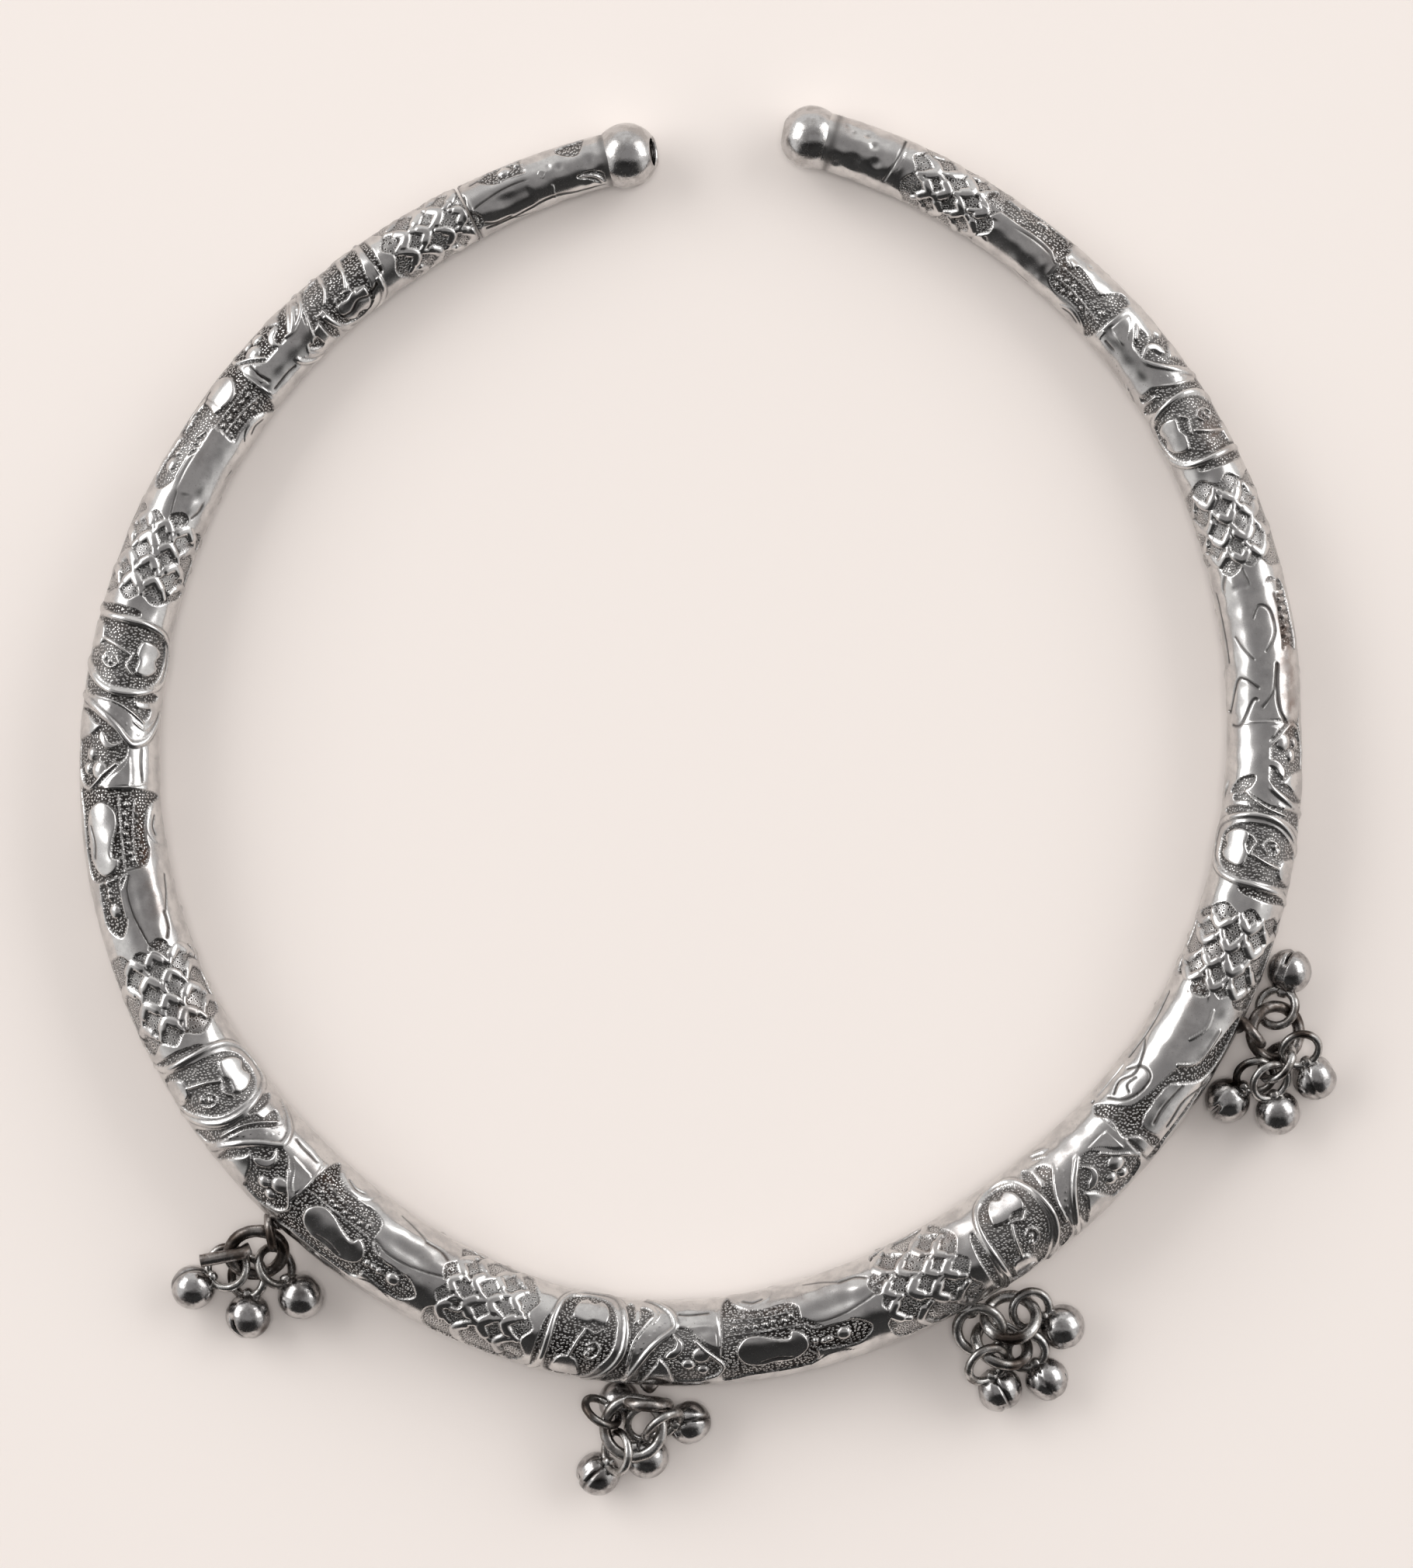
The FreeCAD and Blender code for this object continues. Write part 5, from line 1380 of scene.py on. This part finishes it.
bells = {}
for number, (name, (middle, loop_middle, face, _)) in enumerate(found_bells.items()):
    loop, wire, ball, slit_turn, dents = BELLS[name]
    arm = (loop_middle - middle) / np.linalg.norm(loop_middle - middle)
    cup = slit_bell(name, middle, arm, face, ball, slit_turn, dents, 60 + number)
    bells[name] = gathered(name + "_ball", [cup], BELL_SILVER)
    if name in SEAMS:
        co = np.empty(len(bells[name].data.vertices) * 3, np.float32)
        bells[name].data.vertices.foreach_get("co", co)
        heading = co.reshape(-1, 3) / MM - middle
        off = np.abs(heading @ seam_side(name, -arm))
        dark = np.exp(-(off / 0.20) ** 2) * ease(heading[:, 2] / 0.8 + 0.5) * min(1.0, SEAMS[name][1] / 0.22)
        crevice = bells[name].data.attributes.new("crevice", "FLOAT", "POINT")
        crevice.data.foreach_set("value", dark.astype(np.float32))
    hoop = bent_wire(name, circle(loop_middle, face, loop, arm), wire, WIRE_SILVER, waver=0.10, lumps=0.25,
                     seed=70.0 + number)
    collar = blob(middle + arm * (ball - 0.05), (0.75, 0.75, 0.75), 80 + number)
    links[name + "_loop"] = gathered(name + "_loop", [hoop, collar], WIRE_SILVER)
print("bells:", {n: sum(len(f.vertices) - 2 for f in o.data.polygons) for n, o in bells.items()})

# %% [markdown]
# ## Under the construction
# Nothing of the collar moves on its own, so each piece rides on the root. It takes the place of its
# solid, which is hidden. The eyes are soldered to the tube, so they stand for the
# same solid as the tube's skin does.

# %% Riding and replacing
for piece in skin:
    piece.data.materials.append(STRUCK)
for piece in (left_ball, right_ball):
    piece.data.materials.append(BALL_SILVER)
for piece in skin + [left_ball, right_ball] + eyes:
    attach(piece, "root")
for piece in skin[1:] + [right_ball] + eyes:
    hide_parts("collar_tube")
for piece in (skin[0], left_ball):
    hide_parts("end_section")
for name, piece in links.items():
    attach(piece, "root")
    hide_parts(name.removesuffix("_loop"))
for name, piece in bells.items():
    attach(piece, "root")
    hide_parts(name)
pieces = skin + [left_ball, right_ball] + eyes + list(links.values()) + list(bells.values())
triangles = sum(len(f.vertices) - 2 for p in pieces for f in p.data.polygons)
print(len(pieces), "pieces,", triangles, "triangles")

# %% [markdown]
# ## Paper, light and camera
# The collar lies on cream paper under a large pale tent. Two long soft lights stand low at its left
# and right, and the front is left open and dark, which is what draws the dark and bright bands along
# the metal. The camera looks straight down from far away.

# %% Paper and lights
PAPER_HALF = 3.0


def paper():
    """A sheet of matt, uncoated cream paper: no shine, and soft grey shadows."""
    material, tree = new_material("cream_paper_backdrop")
    matt = node(tree, "ShaderNodeBsdfPrincipled", {"Base Color": paint("#f4ebe5"), "Roughness": 0.9,
                "Specular IOR Level": 0.1})
    node(tree, "ShaderNodeOutputMaterial", {"Surface": matt})
    sheet = bpy.data.meshes.new("backdrop")
    corners = [(-1, -1), (1, -1), (1, 1), (-1, 1)]
    sheet.from_pydata([(x * PAPER_HALF, y * PAPER_HALF, 0) for x, y in corners], [], [(0, 1, 2, 3)])
    sheet.materials.append(material)
    return as_object("backdrop", sheet)


def tent():
    """The pale cloth room by direction: light at the sides, greyer overhead, dark at the front."""
    world = bpy.data.worlds.new("tent")
    bpy.context.scene.world = world
    world.use_nodes = True
    tree = world.node_tree
    tree.nodes.clear()
    heading = node(tree, "ShaderNodeTexCoord").outputs["Generated"]
    x, y, z = node(tree, "ShaderNodeSeparateXYZ", {0: heading}).outputs
    toward_front = node(tree, "ShaderNodeMath", {0: y, 1: -1.0}, operation="MULTIPLY")
    front = node(tree, "ShaderNodeMapRange", {0: toward_front, 1: 0.16, 2: 0.46},
                 interpolation_type="SMOOTHSTEP")
    sideways = node(tree, "ShaderNodeMath", {0: x}, operation="ABSOLUTE")
    narrow = node(tree, "ShaderNodeMapRange", {0: sideways, 1: 0.88, 2: 0.58},
                  interpolation_type="SMOOTHSTEP")
    opening = node(tree, "ShaderNodeMath", {0: front, 1: narrow}, operation="MULTIPLY")
    dark = node(tree, "ShaderNodeMath", {0: opening, 1: 0.95}, operation="MULTIPLY")
    overhead = node(tree, "ShaderNodeMapRange", {0: z, 1: 0.55, 2: 0.97}, interpolation_type="SMOOTHSTEP")
    cloth = node(tree, "ShaderNodeMix", {0: overhead, 6: paint("#f3f2f1"), 7: paint("#a3a1a1")},
                 data_type="RGBA")
    colour = node(tree, "ShaderNodeMix", {0: dark, 6: cloth.outputs[2], 7: paint("#161515")},
                  data_type="RGBA")
    light = node(tree, "ShaderNodeBackground", {"Color": colour.outputs[2], "Strength": 0.95})
    node(tree, "ShaderNodeOutputWorld", {"Surface": light})


def soft_light(name, azimuth, height, away, size, power):
    """A large soft lamp that faces the collar; angles in degrees, sizes in metres, power in watts."""
    lamp = bpy.data.lights.new(name, "AREA")
    lamp.shape = "RECTANGLE"
    lamp.size, lamp.size_y = size
    lamp.energy = power
    made = as_object(name, lamp)
    a, h = math.radians(azimuth), math.radians(height)
    made.location = away * Vector((math.cos(a) * math.cos(h), math.sin(a) * math.cos(h), math.sin(h)))
    made.rotation_euler = (-made.location).to_track_quat("-Z", "Y").to_euler()
    return made


floor = paper()
tent()
fill = soft_light("fill_for_the_paper", 90, 89.9, 2.5, (0.6, 0.6), 12.5)
fill.visible_glossy = False
stage = [floor, fill,
         soft_light("left_light", 155, 32, 2.2, (1.95, 1.2), 20.5),
         soft_light("right_light", 25, 32, 2.2, (1.95, 1.2), 15.0)]
print("stage:", [thing.name for thing in stage])

# %% [markdown]
# ## Camera
# The photo shows the collar square from above with straight edges, so it was taken from far away with
# a long lens. The distance and the width of the picture at the collar's own height give the lens.

# %% Camera
CAMERA_HEIGHT = 0.9
PICTURE_WIDTH = 0.1919
FOCUS_LEVEL = 0.005
PICTURE_MIDDLE = (0.001045, -0.00532)
view = bpy.data.cameras.new("camera")
view.sensor_width = 36.0
view.lens = view.sensor_width * CAMERA_HEIGHT / PICTURE_WIDTH
view.clip_end = 10.0
camera = as_object("camera", view)
camera.location = (*PICTURE_MIDDLE, CAMERA_HEIGHT + FOCUS_LEVEL)
bpy.context.scene.camera = camera
bpy.context.scene.view_settings.view_transform = "Standard"
print("lens:", round(view.lens, 1), "mm")
